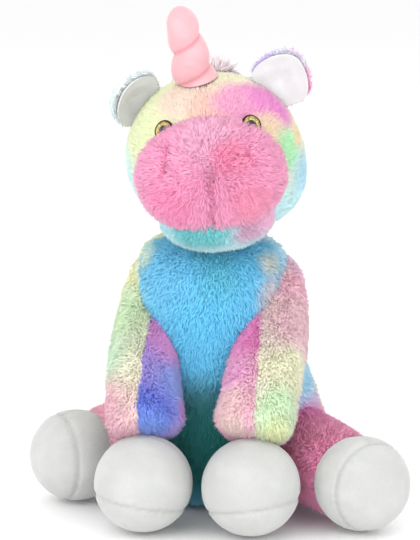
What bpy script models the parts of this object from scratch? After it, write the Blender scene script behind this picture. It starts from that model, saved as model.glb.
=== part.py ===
"""A seated plush unicorn, with the stuffing, panels, eyes and seams that it is sewn from.

Metres, +Z up. The toy faces -Y, and the origin is on the flat face that it sits on, below the hips.
Each limb, the head, the ears, the horn and the tail has its origin on the axis that it bends about.
"""

import math

import bmesh
import bpy
from mathutils import Matrix, Vector

MM = 0.001

# Fabric and clearances
FABRIC = 2.4 * MM
SATIN_THICKNESS = 1.2 * MM
VELOUR = 1.6 * MM
GAP = 0.4 * MM
SEAM = 0.5 * MM
LIMB_GAP = 1.0 * MM
SOCKET_GAP = 2.1 * MM
ROOM_GAP = 3.5 * MM
ROOT_ROOM = 2.2 * MM

# Body: height, middle in Y, half width, half depth
TORSO_RINGS = (
    (0, 14, 58, 47),
    (3, 14, 64, 53),
    (14, 14, 70, 60),
    (32, 14, 71, 62),
    (58, 11, 64, 59),
    (85, 4, 55, 54),
    (110, -4, 49, 49),
    (130, -8, 48, 45),
    (145, -9, 45, 40),
    (154, -9, 38, 32),
    (159, -9, 24, 20),
)
SEAT_HEIGHT = 9 * MM
BELLY_HALF_WIDTH = 40 * MM
SIDE_SEAM_Y = -14 * MM
POUCH_HEIGHT = 36 * MM

# Neck and head
NECK = Vector((4 * MM, -9 * MM, 163 * MM))
NECK_RADIUS = 25 * MM
NECK_OPENING = 14.2 * MM
HEAD_TURN = math.radians(4)
HEAD_ROLL = math.radians(-4)
HEAD_CENTRE = Vector((1 * MM, -14 * MM, 51 * MM))
HEAD_SIZE = (52 * MM, 50 * MM, 48.5 * MM)
MUZZLE_CENTRE = Vector((1 * MM, -56 * MM, 45 * MM))
MUZZLE_SIZE = (44 * MM, 31 * MM, 34 * MM)
JAW_CENTRE = Vector((2 * MM, -39 * MM, 18 * MM))
JAW_SIZE = (34 * MM, 34 * MM, 19 * MM)
EYE_SPREAD = 32
EYE_RISE = 24.5
EYE_RADIUS = 6 * MM
SHANK_RADIUS = 1.5 * MM
WASHER_RADIUS = 5.5 * MM

# Horn and ears
HORN_ROOT = Vector((-6 * MM, -25 * MM, 97 * MM))
HORN_LEAN = math.radians(-8)
HORN_PITCH = math.radians(14)
HORN_LENGTH = 46 * MM
HORN_RADIUS = 13 * MM
HORN_TIP = 0.66 * HORN_RADIUS
HORN_TURNS = 2.2
EAR_LENGTH = 38 * MM
EAR_WIDTH = 33 * MM
EAR_PAD = 3.4 * MM
EAR_ANGLE = math.radians(49)
EAR_LEAN = {"left": math.radians(56), "right": math.radians(28)}
EAR_CURL = {"left": math.radians(95), "right": math.radians(40)}
EAR_SINK = 7 * MM

# Front legs
SHOULDER_RADIUS = 18
ARM_ROUTE = (
    (35.6, -2, 134, SHOULDER_RADIUS),
    (39, -21, 113, 19),
    (36, -53, 88, 22.5),
    (31.5, -75, 62, 24),
)
FRONT_HOOF = (31.5 * MM, -84 * MM, 29.2 * MM)
FRONT_HOOF_SIZE = (29.6 * MM, 31 * MM, 29.2 * MM)
ARM_SEAM_X = 34 * MM

# Hind legs: how far each is splayed from straight ahead, and how far it reaches
HIP = (42 * MM, 0, 33.5 * MM)
HIP_RADIUS = 28 * MM
SPLAY = {"left": math.radians(56), "right": math.radians(38)}
REACH = {"left": 48 * MM, "right": 86 * MM}
HIND_HOOF_SIZE = (29 * MM, 27 * MM, 28.8 * MM)
ARM_SWING = [math.radians(turn) for turn in (0, 15, 30)]
LEG_SWING = [math.radians(turn) for turn in (-3, 9.5, 22)]

# Mane and tail
MANE_ARC = (14, 118)
MANE_WIDTH = 15 * MM
MANE_HEIGHT = 9 * MM
TAIL_ROOT = Vector((0, 76 * MM, 46 * MM))
TAIL_REACH = 44 * MM
TAIL_DROP = 34 * MM
TAIL_RADIUS = 10 * MM

SIDES = {"left": -1, "right": 1}
PINK = (0.95, 0.42, 0.62)
SKY = (0.16, 0.58, 0.86)
LIME = (0.72, 0.88, 0.52)
CREAM = (0.90, 0.88, 0.66)
LILAC = (0.72, 0.46, 0.80)
INDIGO = (0.14, 0.20, 0.55)
WHITE = (0.88, 0.88, 0.86)
SATIN = (0.94, 0.62, 0.68)
FIBRE = (0.93, 0.93, 0.95)


def clear_scene():
    for old in list(bpy.data.objects):
        bpy.data.objects.remove(old, do_unlink=True)


def new_collection(name):
    collection = bpy.data.collections.new(name)
    bpy.context.scene.collection.children.link(collection)
    return collection


def material(name, colour, roughness=0.9, metallic=0.0):
    made = bpy.data.materials.new(name)
    made.use_nodes = True
    shader = made.node_tree.nodes["Principled BSDF"]
    shader.inputs["Base Color"].default_value = (*colour, 1)
    shader.inputs["Roughness"].default_value = roughness
    shader.inputs["Metallic"].default_value = metallic
    return made


clear_scene()
UNICORN = new_collection("plush_unicorn")
CUTTERS = new_collection("cutters")


def empty(name, place, parent=None, turn=(0, 0, 0)):
    made = bpy.data.objects.new(name, None)
    made.location = place
    made.rotation_euler = turn
    made.parent = parent
    UNICORN.objects.link(made)
    return made


def add(name, bm, parent=None, cutter=False, colour=WHITE, roughness=0.9, metallic=0.0):
    """Puts a closed mesh in the scene as a sub-part or, hidden from renders, as a cutter."""
    bmesh.ops.recalc_face_normals(bm, faces=bm.faces)
    mesh = bpy.data.meshes.new(name)
    bm.to_mesh(mesh)
    bm.free()
    made = bpy.data.objects.new(name, mesh)
    made.parent = parent
    if cutter:
        made.hide_render = True
        made.display_type = "WIRE"
        CUTTERS.objects.link(made)
    else:
        mesh.materials.append(material(name, colour, roughness, metallic))
        mesh.shade_smooth()
        UNICORN.objects.link(made)
    return made


# Shapes


def ball(size, centre=(0, 0, 0), segments=16, rings=10, axis=None):
    """An ellipsoid; axis turns its poles from +Z to another direction."""
    bm = bmesh.new()
    bmesh.ops.create_uvsphere(bm, u_segments=segments, v_segments=rings, radius=1)
    if axis is not None:
        turn = Vector((0, 0, 1)).rotation_difference(Vector(axis)).to_matrix()
        bmesh.ops.transform(bm, matrix=turn.to_4x4(), verts=bm.verts)
    place = Matrix.Translation(centre) @ Matrix.Diagonal((*size, 1))
    bmesh.ops.transform(bm, matrix=place, verts=bm.verts)
    return bm


def box(low, high):
    bm = bmesh.new()
    bmesh.ops.create_cube(bm, size=1)
    low, high = Vector(low), Vector(high)
    place = Matrix.Translation((low + high) / 2) @ Matrix.Diagonal((*(high - low), 1))
    bmesh.ops.transform(bm, matrix=place, verts=bm.verts)
    return bm


def cylinder(radius, low, high, segments=12, place=None):
    """A cylinder along Z from low to high, moved by place."""
    bm = bmesh.new()
    bmesh.ops.create_cone(
        bm,
        cap_ends=True,
        segments=segments,
        radius1=radius,
        radius2=radius,
        depth=high - low,
    )
    where = Matrix.Translation((0, 0, (low + high) / 2))
    bmesh.ops.transform(bm, matrix=(place or Matrix()) @ where, verts=bm.verts)
    return bm


def skin_rings(bm, rings, start=None, end=None):
    """Joins rings of points into a closed skin, with a point or a flat face at each end."""
    loops = [[bm.verts.new(p) for p in ring] for ring in rings]
    count = len(loops[0])
    for a, b in zip(loops, loops[1:]):
        for i in range(count):
            j = (i + 1) % count
            bm.faces.new((a[i], a[j], b[j], b[i]))
    for loop, tip in ((loops[0], start), (loops[-1], end)):
        if tip is None:
            bm.faces.new(loop)
            continue
        point = bm.verts.new(tip)
        for i in range(count):
            bm.faces.new((loop[i], loop[(i + 1) % count], point))
    return bm


def oval(centre, across, up, half_width, half_height, segments):
    turns = (2 * math.pi * (i + 0.5) / segments for i in range(segments))
    return [
        centre + across * half_width * math.cos(t) + up * half_height * math.sin(t)
        for t in turns
    ]


def torso_form(segments=24):
    """The pear-shaped body, flat underneath and closed by a low dome at the neck."""
    rings = []
    for z, y, half_width, half_depth in TORSO_RINGS:
        middle = Vector((0, y, z)) * MM
        rings.append(
            oval(
                middle,
                Vector((1, 0, 0)),
                Vector((0, 1, 0)),
                half_width * MM,
                half_depth * MM,
                segments,
            )
        )
    top_z, top_y = TORSO_RINGS[-1][0] + 2, TORSO_RINGS[-1][1]
    return skin_rings(bmesh.new(), rings, end=Vector((0, top_y, top_z)) * MM)


def smooth_route(stations, steps):
    """Points on a smooth curve through the stations, steps of them to each stretch."""
    rows = [Vector(station) for station in stations]
    rows = [rows[0] * 2 - rows[1], *rows, rows[-1] * 2 - rows[-2]]
    route = []
    for a, b, c, d in zip(rows, rows[1:], rows[2:], rows[3:]):
        for i in range(steps):
            t = i / steps
            bend = (2 * a - 5 * b + 4 * c - d) * t * t + (3 * b - a - 3 * c + d) * t**3
            route.append((2 * b + (c - a) * t + bend) / 2)
    return [*route, rows[-2]]


def tube_form(stations, segments=12, steps=2):
    """A stuffed tube through stations of x, y, z and radius in mm, round at its start, flat at its end."""
    route = smooth_route(stations, steps)
    points = [row.to_3d() * MM for row in route]
    rings = []
    for i, row in enumerate(route):
        along = points[min(i + 1, len(points) - 1)] - points[max(i - 1, 0)]
        along.normalize()
        across = (Vector((1, 0, 0)) - along * along.x).normalized()
        up = along.cross(across)
        if i == 0:
            start, radius = points[0], row[3] * MM
            for t in (math.radians(30), math.radians(60)):
                centre = start - along * radius * math.cos(t)
                rings.append(
                    oval(centre, across, up, radius * math.sin(t), radius * math.sin(t), segments)
                )
            tip = start - along * radius
        rings.append(oval(points[i], across, up, row[3] * MM, row[3] * MM, segments))
    return skin_rings(bmesh.new(), rings, start=tip)


def turned(profile, segments=12, place=None):
    """A closed turned solid: the profile's (radius, height) points run from top to bottom."""
    rings = []
    for radius, height in profile[1:-1]:
        rings.append(
            oval(
                Vector((0, 0, height)),
                Vector((1, 0, 0)),
                Vector((0, 1, 0)),
                radius,
                radius,
                segments,
            )
        )
    ends = [Vector((0, 0, height)) for _, height in (profile[0], profile[-1])]
    bm = skin_rings(bmesh.new(), rings, start=ends[0], end=ends[1])
    if place is not None:
        bmesh.ops.transform(bm, matrix=place, verts=bm.verts)
    return bm


# Modifiers


def inset(made, depth):
    """Moves the whole surface of a solid inwards, or outwards when depth is negative."""
    move = made.modifiers.new("inset", "DISPLACE")
    move.strength = -depth
    move.mid_level = 0
    return made


def hollow(made, thickness=FABRIC):
    """Makes a closed form that a zone has already cut open into the fabric that covers it."""
    inside = bpy.data.objects.new(f"{made.name}_inside", made.data)
    inside.parent = made.parent
    inside.hide_render = True
    inside.display_type = "WIRE"
    CUTTERS.objects.link(inside)
    return cut(made, inset(inside, thickness))


def cut(made, cutter, operation="DIFFERENCE"):
    change = made.modifiers.new(operation.lower(), "BOOLEAN")
    change.operation = operation
    change.solver = "EXACT"
    change.object = cutter
    return made


def keep(made, cutter):
    return cut(made, cutter, "INTERSECT")


# Limb forms come first, because the body has sockets for them


def mirrored(place, side):
    return Vector((place[0] * SIDES[side], place[1], place[2]))


def socket(name, centre, radius, parent=None):
    form = ball((radius + SOCKET_GAP,) * 3, centre)
    return add(f"{name}_socket", form, parent, cutter=True)


def shoulder_place(side):
    return mirrored(ARM_ROUTE[0][:3], side) * MM


def arm_form(side, sides=12, steps=2):
    return tube_form([(x * SIDES[side], y, z, r) for x, y, z, r in ARM_ROUTE], sides, steps)


def leg_direction(side):
    return Vector((math.sin(SPLAY[side]) * SIDES[side], -math.cos(SPLAY[side]), 0))


def hind_hoof_centre(side):
    low = mirrored(HIP, side)
    low.z = HIND_HOOF_SIZE[2]
    return low + leg_direction(side) * REACH[side]


def leg_form(side, sides=12):
    hip = mirrored(HIP, side)
    ankle = hind_hoof_centre(side) - leg_direction(side) * HIND_HOOF_SIZE[1] * 0.55
    along = (ankle - hip).normalized()
    across = along.cross(Vector((0, 0, 1))).normalized()
    up = across.cross(along)
    rings = []
    for t in (math.radians(30), math.radians(60)):
        radius = HIP_RADIUS * math.sin(t)
        centre = hip - along * HIP_RADIUS * math.cos(t)
        rings.append(oval(centre, across, up, radius, radius, sides))
    for t, width, height in ((0, 1, 1), (0.4, 1, 1), (0.75, 0.94, 0.94), (1, 0.86, 0.86)):
        centre = hip.lerp(ankle, t)
        half = (HIP_RADIUS * width, HIP_RADIUS * height)
        rings.append(oval(centre, across, up, *half, sides))
    return skin_rings(bmesh.new(), rings, start=hip - along * HIP_RADIUS)


def swing_room(form, pivot, axis, angles):
    """The hull of a form turned to each of the angles about its joint: the room it swings in."""
    bm = bmesh.new()
    for angle in angles:
        turn = Matrix.Rotation(angle, 3, axis)
        for vert in form.verts:
            bm.verts.new(pivot + turn @ (vert.co - pivot))
    hull = bmesh.ops.convex_hull(bm, input=bm.verts[:])
    inner = {v for v in hull["geom_interior"] if isinstance(v, bmesh.types.BMVert)}
    bmesh.ops.delete(bm, geom=list(inner), context="VERTS")
    bmesh.ops.recalc_face_normals(bm, faces=bm.faces[:])
    return bm


def arm_room(side, sides=12, steps=2):
    return swing_room(
        arm_form(side, sides, steps), shoulder_place(side), Vector((-1, 0, 0)), ARM_SWING
    )


def leg_room(side, form):
    return swing_room(form, mirrored(HIP, side), Vector((0, 0, SIDES[side])), LEG_SWING)


ARM_CUTTERS = {s: add(f"arm_{s}_cutter", arm_room(s), cutter=True) for s in SIDES}
LEG_CUTTERS = {s: add(f"leg_{s}_cutter", leg_room(s, leg_form(s)), cutter=True) for s in SIDES}
for limb in (*ARM_CUTTERS.values(), *LEG_CUTTERS.values()):
    inset(limb, -LIMB_GAP)
NECK_SOCKET = socket("neck", NECK, NECK_RADIUS)

# The stuffing of the body has plainer and roomier hollows for the limbs
ROOM_CUTTERS = [add(f"arm_{s}_room", arm_room(s, 8, 1), cutter=True) for s in SIDES]
ROOM_CUTTERS += [
    add(f"leg_{s}_room", leg_room(s, leg_form(s, 8)), cutter=True) for s in SIDES
]
for room in ROOM_CUTTERS:
    inset(room, -ROOM_GAP)
NECK_ROOM = add("neck_room", ball((NECK_RADIUS + ROOM_GAP,) * 3, NECK, 10, 6), cutter=True)
ROOM_CUTTERS.append(NECK_ROOM)


# Body


def under_leg(side):
    """The space below a leg, where no panel of the body reaches."""
    hip, along = mirrored(HIP, side), leg_direction(side)
    turn = Vector((0, -1, 0)).rotation_difference(along).to_matrix().to_4x4()
    bm = box((-HIP_RADIUS, -0.1, -0.1), (HIP_RADIUS, 0, -2 * MM))
    bmesh.ops.transform(bm, matrix=Matrix.Translation(hip) @ turn, verts=bm.verts)
    return add(f"under_leg_{side}", leg_room(side, bm), cutter=True)


def open_for_limbs(made):
    for cutters in (ARM_CUTTERS, LEG_CUTTERS):
        for side in SIDES:
            cut(made, cutters[side])
    return cut(made, NECK_SOCKET)


def build_body():
    far = 0.3
    seat_zone = add("seat_zone", box((-far, -far, -far), (far, far, SEAT_HEIGHT)), cutter=True)
    over_seat = add(
        "over_seat", box((-far, -far, SEAT_HEIGHT + SEAM), (far, far, far)), cutter=True
    )
    belly_zone = add(
        "belly_zone",
        box((-BELLY_HALF_WIDTH, -far, -far), (BELLY_HALF_WIDTH, SIDE_SEAM_Y, far)),
        cutter=True,
    )
    wide = BELLY_HALF_WIDTH + SEAM
    beside_belly = add(
        "beside_belly", box((-wide, -far, -far), (wide, SIDE_SEAM_Y + SEAM, far)), cutter=True
    )
    seat = keep(add("seat_base", torso_form(), colour=SKY), seat_zone)
    open_for_limbs(hollow(seat))
    below = {side: under_leg(side) for side in SIDES}
    belly = keep(keep(add("belly_panel", torso_form(), colour=SKY), over_seat), belly_zone)
    open_for_limbs(hollow(belly))
    for side, sign in SIDES.items():
        ends = sorted((sign * SEAM / 2, sign * far))
        half = add(f"{side}_half", box((ends[0], -far, -far), (ends[1], far, far)), cutter=True)
        back = add(f"back_panel_{side}", torso_form(), colour=LIME if sign < 0 else PINK)
        cut(keep(keep(back, over_seat), half), beside_belly)
        open_for_limbs(cut(hollow(back), below[side]))
    low = add("pouch_zone", box((-far, -far, -far), (far, far, POUCH_HEIGHT)), cutter=True)
    high = add("stuffing_zone", box((-far, -far, POUCH_HEIGHT + GAP), (far, far, far)), cutter=True)
    for name, zone, colour in (
        ("pellet_pouch", low, WHITE),
        ("torso_stuffing", high, FIBRE),
    ):
        filling = inset(add(name, torso_form(), colour=colour), FABRIC + GAP)
        keep(filling, zone)
        for room in ROOM_CUTTERS:
            cut(filling, room)


def build_neck():
    """A ball of stuffing in a sleeve that is open to the body and to the head."""
    pivot = empty("neck_pivot", NECK)
    core = NECK_RADIUS - FABRIC - GAP
    add("neck_stuffing", ball((core,) * 3), pivot, colour=FIBRE)
    ends = add(
        "neck_ends", cylinder(NECK_OPENING, -0.05, 0.05, 9), pivot, cutter=True
    )
    sleeve = add("neck_panel", ball((NECK_RADIUS,) * 3), pivot, colour=SKY)
    hollow(cut(sleeve, ends))


# Head: everything hangs on one empty at the neck, turned as the toy holds its head


def eye_frame(sign):
    """The place on the head where an eye is pressed in, with its Z axis pointing outwards."""
    spread, rise = math.radians(EYE_SPREAD) * sign, math.radians(EYE_RISE)
    out = Vector((math.sin(spread) * math.cos(rise), -math.cos(spread) * math.cos(rise), 0))
    out.z = math.sin(rise)
    reach = 1 / math.sqrt(sum((out[i] / HEAD_SIZE[i]) ** 2 for i in range(3)))
    turn = Vector((0, 0, 1)).rotation_difference(out).to_matrix().to_4x4()
    return Matrix.Translation(HEAD_CENTRE + out * reach) @ turn


def build_eye(side, head):
    place = eye_frame(SIDES[side])
    r, shank = EYE_RADIUS, SHANK_RADIUS
    stem = ((0, 1.5), (r - 0.4 * MM, 1.5), (r, 1.1), (r, 0.2), (shank, 0.2), (shank, -13), (0, -13))
    rings = [(radius, height * MM) for radius, height in stem]
    add(f"eye_stem_{side}", turned(rings, place=place), head, colour=(0.01, 0.01, 0.01), roughness=0.3)
    disc = cylinder(r - 0.3 * MM, 1.8 * MM, 2.2 * MM, place=place)
    add(f"eye_glitter_{side}", disc, head, colour=(0.75, 0.55, 0.12), roughness=0.3, metallic=1)
    dome = [(r * math.cos(t), (2.5 + 2.6 * math.sin(t)) * MM) for t in (1.2, 0.8, 0.4, 0)]
    dome = [(0, 5.1 * MM), *dome, (0, 2.5 * MM)]
    add(f"eye_lens_{side}", turned(dome, place=place), head, colour=(0.8, 0.8, 0.8), roughness=0.03)
    ring = cylinder(WASHER_RADIUS, -6.4 * MM, -5.0 * MM, place=place)
    hole = cylinder(shank + GAP, -8 * MM, -3 * MM, place=place)
    washer = add(f"eye_washer_{side}", ring, head, colour=(0.8, 0.8, 0.8), roughness=0.5)
    cut(washer, add(f"eye_washer_hole_{side}", hole, head, cutter=True))


def eye_cutters(side, head):
    """The shank's hole, the dent that the eye makes in the plush, and the room behind it."""
    place = eye_frame(SIDES[side])
    r = EYE_RADIUS + GAP
    hole = cylinder(SHANK_RADIUS + GAP, -16 * MM, 8 * MM, place=place)
    dent = cylinder(r, -0.2 * MM, 12 * MM, place=place)
    room = cylinder(r, -14 * MM, 12 * MM, place=place)
    return (
        add(f"shank_hole_{side}", hole, head, cutter=True),
        add(f"eye_dent_{side}", dent, head, cutter=True),
        add(f"eye_room_{side}", room, head, cutter=True),
    )


def head_form():
    return ball(HEAD_SIZE, HEAD_CENTRE, segments=20, rings=12)


def muzzle_form():
    """A wide oval muzzle, flattened a little where the nose is."""
    bm = ball(MUZZLE_SIZE, axis=(0, -1, 0))
    for vert in bm.verts:
        swell = 1 + 0.10 * math.cos(math.pi * vert.co.x / MUZZLE_SIZE[0])
        vert.co.y *= 1.06 - 0.08 * swell
    bmesh.ops.translate(bm, vec=MUZZLE_CENTRE, verts=bm.verts)
    return bm


def grown(name, bm, head, amount=GAP):
    return inset(add(name, bm, head, cutter=True), -amount)


def build_head():
    head = empty("head_pivot", NECK, turn=(0, HEAD_ROLL, HEAD_TURN))
    neck_room = add(
        "head_neck_room", ball((NECK_RADIUS + SOCKET_GAP,) * 3), head, cutter=True
    )
    skull = grown("skull_cutter", head_form(), head)
    muzzle_cutter = grown("muzzle_cutter", muzzle_form(), head)
    jaw_cutter = grown("jaw_cutter", ball(JAW_SIZE, JAW_CENTRE), head)
    eyes = {side: eye_cutters(side, head) for side in SIDES}
    far, seam_y = 0.3, HEAD_CENTRE.y + 12 * MM
    zones = {
        "left": ((-far, -far, -far), (-SEAM / 2, seam_y, far)),
        "right": ((SEAM / 2, -far, -far), (far, seam_y, far)),
        "back": ((-far, seam_y + SEAM, -far), (far, far, far)),
    }
    for zone, (low, high) in zones.items():
        side = add(f"head_{zone}_zone", box(low, high), head, cutter=True)
        colour = {"left": CREAM, "right": PINK, "back": SKY}[zone]
        panel = add(f"head_panel_{zone}", head_form(), head, colour=colour)
        hollow(keep(panel, side))
        cut(cut(cut(panel, muzzle_cutter), jaw_cutter), neck_room)
        if zone != "back":
            cut(cut(panel, eyes[zone][0]), eyes[zone][1])
    core = inset(add("head_stuffing", head_form(), head, colour=FIBRE), FABRIC + GAP)
    cut(core, neck_room)
    for side in SIDES:
        cut(core, eyes[side][2])
    core_cutter = inset(add("core_cutter", head_form(), head, cutter=True), FABRIC)
    muzzle = hollow(cut(add("muzzle_panel", muzzle_form(), head, colour=PINK), skull))
    filling = inset(add("muzzle_stuffing", muzzle_form(), head, colour=FIBRE), FABRIC + GAP)
    cut(filling, core_cutter)
    jaw = add("lower_jaw", ball(JAW_SIZE, JAW_CENTRE), head, colour=(0.16, 0.62, 0.60))
    cut(cut(cut(jaw, core_cutter), muzzle_cutter), neck_room)
    for side in SIDES:
        build_eye(side, head)
        cut(muzzle, eyes[side][2])
        cut(filling, eyes[side][2])
        build_ear(side, head)
    build_horn(head)
    build_mane(head)
    return head


# Horn


def horn_radius(t):
    """Radius at a share t of the length: two soft bulges with a pinch between them."""
    pinch = 1 - 0.16 * math.exp(-(((t - 0.5) / 0.10) ** 2))
    taper = 1 - 0.40 * t
    return HORN_RADIUS * taper * pinch


def horn_profile(shrink=0.0, steps=8):
    """(radius, height) points from the rounded tip down to the root."""
    tip = HORN_TIP
    points = [(0, HORN_LENGTH - shrink)]
    for t in (math.radians(30), math.radians(60)):
        points.append((math.sin(t) * (tip - shrink), HORN_LENGTH - tip + (tip - shrink) * math.cos(t)))
    straight = HORN_LENGTH - tip
    for i in range(steps + 1):
        height = straight * (1 - i / steps)
        points.append((horn_radius(height / HORN_LENGTH) - shrink, height))
    return points


def build_horn(head):
    root = empty("horn_root", HORN_ROOT, head, turn=(HORN_PITCH, HORN_LEAN, 0))
    closed = [*horn_profile(), (0, 0)]
    cover = add("horn_cover", turned(closed), root, colour=SATIN, roughness=0.6)
    mouth = add("horn_mouth", cylinder(HORN_RADIUS * 2, -5 * MM, 2 * MM), root, cutter=True)
    hollow(cut(cover, mouth), SATIN_THICKNESS)
    inner = [*horn_profile(SATIN_THICKNESS + GAP), (0, 0)]
    filling = add("horn_stuffing", turned(inner), root, colour=FIBRE)
    seat = grown("horn_seat", head_form(), head, ROOT_ROOM)
    cut(cover, seat)
    cut(filling, seat)
    route = []
    count = 30
    for i in range(count + 1):
        t = 0.08 + 0.64 * i / count
        turn = 2 * math.pi * HORN_TURNS * i / count
        radius = horn_radius(t) + 0.85 * MM
        route.append((radius * math.cos(turn), radius * math.sin(turn), HORN_LENGTH * t, 1))
    curve = bpy.data.curves.new("horn_thread", "CURVE")
    curve.dimensions = "3D"
    curve.bevel_depth = 0.4 * MM
    curve.bevel_resolution = 1
    curve.use_fill_caps = True
    spline = curve.splines.new("POLY")
    spline.points.add(len(route) - 1)
    spline.points.foreach_set("co", [value for point in route for value in point])
    thread = bpy.data.objects.new("horn_thread", curve)
    thread.parent = root
    curve.materials.append(material("horn_thread", (0.85, 0.5, 0.58), 0.7))
    UNICORN.objects.link(thread)


# Ears


def ear_pad(curl, front, back):
    """A rounded leaf standing on its root, front to back in Y, bent forwards by the angle curl."""
    bm = ball((1, 1, 1), segments=14, rings=8, axis=(0, 1, 0))
    bend = EAR_LENGTH / curl
    for vert in bm.verts:
        across, height = vert.co.x, (vert.co.z + 1) / 2
        width = EAR_WIDTH / 2 * (0.7 + 0.4 * math.sin(math.pi * (height * 0.8 + 0.1)))
        thick = front + (back - front) * (vert.co.y + 1) / 2 - 4 * MM * across**2
        turn = curl * height
        vert.co.x = across * width
        vert.co.y = thick * math.cos(turn) - bend * (1 - math.cos(turn))
        vert.co.z = (thick + bend) * math.sin(turn) - EAR_SINK
    return bm


def build_ear(side, head):
    sign = SIDES[side]
    out = Vector((math.sin(EAR_ANGLE) * sign, 0.12, math.cos(EAR_ANGLE)))
    reach = 1 / math.sqrt(sum((out[i] / HEAD_SIZE[i]) ** 2 for i in range(3)))
    base = HEAD_CENTRE + out * reach
    root = empty(f"ear_root_{side}", base, head, turn=(0, EAR_LEAN[side] * sign, 0))
    curl = EAR_CURL[side]
    lining = add(f"ear_lining_{side}", ear_pad(curl, -EAR_PAD, -GAP / 2), root, colour=WHITE)
    back = add(f"ear_back_{side}", ear_pad(curl, GAP / 2, EAR_PAD), root, colour=LILAC)
    seat = grown(f"ear_seat_{side}", head_form(), head, ROOT_ROOM)
    cut(lining, seat)
    cut(back, seat)


# Mane and tail


def build_mane(head):
    """A ridge of long pile over the top and back of the head, with a gap for the fabric."""
    rings = []
    low, high = (math.radians(a) for a in MANE_ARC)
    count = 12
    for i in range(count + 1):
        share = i / count
        turn = low + (high - low) * share
        out = Vector((0, math.sin(turn), math.cos(turn)))
        reach = 1 / math.sqrt((out.y / HEAD_SIZE[1]) ** 2 + (out.z / HEAD_SIZE[2]) ** 2)
        swell = 0.45 + 0.55 * math.sin(math.pi * min(1, max(0, share * 0.9 + 0.08)))
        centre = HEAD_CENTRE + out * (reach + 1.0 * MM + MANE_HEIGHT * swell / 2)
        rings.append(
            oval(centre, Vector((1, 0, 0)), out, MANE_WIDTH * swell, MANE_HEIGHT * swell / 2, 10)
        )
    mane = add("mane", skin_rings(bmesh.new(), rings), head, colour=(0.95, 0.72, 0.80))
    cut(mane, grown("mane_seat", head_form(), head))


def build_tail():
    root = empty("tail_root", TAIL_ROOT)
    rings = []
    count = 8
    for i in range(count + 1):
        t = i / count
        centre = Vector((0, TAIL_REACH * math.sin(t * math.pi / 2.2), -TAIL_DROP * t * t))
        slope = Vector((0, TAIL_REACH * math.cos(t * math.pi / 2.2), -2 * TAIL_DROP * t)).normalized()
        radius = TAIL_RADIUS * (0.45 + 0.55 * math.sin(math.pi * (0.12 + 0.62 * t)))
        across = Vector((1, 0, 0))
        rings.append(oval(centre, across, slope.cross(across), radius, radius, 12))
    tip = rings[-1]
    middle = sum(tip, Vector()) / len(tip)
    bm = skin_rings(bmesh.new(), rings, end=middle + Vector((0, 3 * MM, -5 * MM)))
    tail = add("tail", bm, root, colour=(0.95, 0.72, 0.80))
    tail_seat = add("tail_seat", torso_form(), cutter=True)
    inset(tail_seat, -SOCKET_GAP)
    cut(tail, tail_seat)


# Limbs


def half_space(name, place, direction, parent):
    """A large box that holds everything on direction's side of place."""
    turn = Vector((0, 0, 1)).rotation_difference(Vector(direction)).to_matrix().to_4x4()
    bm = box((-0.3, -0.3, 0), (0.3, 0.3, 0.6))
    bmesh.ops.transform(bm, matrix=Matrix.Translation(place) @ turn, verts=bm.verts)
    return add(name, bm, parent, cutter=True)


def build_hoof(name, side, size, centre, sole_facing, sole_depth, parent, opening):
    """A white ball: its cover, the sole that closes it, and the stuffing inside."""
    facing = Vector(sole_facing).normalized()
    centre = Vector(centre)

    def form():
        return ball(size, centre, 16, 8, axis=facing)

    at = centre + facing * sole_depth
    beyond = half_space(f"{name}_sole_zone_{side}", at, facing, parent)
    before = half_space(f"{name}_cover_zone_{side}", at - facing * SEAM, -facing, parent)
    for panel, zone in (("cover", before), ("sole", beyond)):
        made = keep(add(f"{name}_{panel}_{side}", form(), parent, colour=WHITE), zone)
        cut(hollow(made, VELOUR), opening)
    core = inset(add(f"{name}_stuffing_{side}", form(), parent, colour=FIBRE), VELOUR + GAP)
    cut(core, opening)


def local(bm, place):
    """Moves a form from the world to the space of an empty at place."""
    bmesh.ops.translate(bm, vec=-Vector(place), verts=bm.verts)
    return bm


def build_arm(side):
    sign = SIDES[side]
    shoulder = shoulder_place(side)
    pivot = empty(f"shoulder_{side}", shoulder)

    def form():
        return local(arm_form(side), shoulder)

    for panel, outward in (("outer", sign), ("inner", -sign)):
        at = Vector((ARM_SEAM_X * sign + outward * SEAM / 2 - shoulder.x, 0, 0))
        zone = half_space(f"arm_{panel}_zone_{side}", at, (outward, 0, 0), pivot)
        colour = {"outer": LIME, "inner": INDIGO if sign < 0 else PINK}[panel]
        hollow(keep(add(f"arm_{panel}_panel_{side}", form(), pivot, colour=colour), zone))
    inset(add(f"arm_stuffing_{side}", form(), pivot, colour=FIBRE), FABRIC + GAP)
    opening = grown(f"arm_room_{side}", form(), pivot)
    place = mirrored(FRONT_HOOF, side) - shoulder
    facing = (0.05 * sign, -0.25, -1)
    build_hoof("front_hoof", side, FRONT_HOOF_SIZE, place, facing, 3 * MM, pivot, opening)


def build_leg(side):
    hip = mirrored(HIP, side)
    pivot = empty(f"hip_{side}", hip)

    def form():
        return local(leg_form(side), hip)

    cover = add(f"leg_panel_{side}", form(), pivot, colour=PINK)
    back = hip - leg_direction(side) * HIP_RADIUS
    mouth = ball((11 * MM,) * 3, back - hip, segments=16, rings=8)
    hollow(cut(cover, add(f"leg_mouth_{side}", mouth, pivot, cutter=True)))
    inset(add(f"leg_stuffing_{side}", form(), pivot, colour=FIBRE), FABRIC + GAP)
    opening = grown(f"leg_room_{side}", form(), pivot)
    place = hind_hoof_centre(side) - hip
    facing = leg_direction(side)
    build_hoof("hind_hoof", side, HIND_HOOF_SIZE, place, facing, 9 * MM, pivot, opening)


build_body()
build_neck()
build_head()
build_tail()
for each_side in SIDES:
    build_arm(each_side)
    build_leg(each_side)
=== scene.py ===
"""Looks of a seated plush unicorn: pile, velour, satin and eyes over its jointed frame."""
import math

import bmesh
import bpy
import numpy as np
from mathutils import Euler, Matrix, Vector, noise


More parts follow.
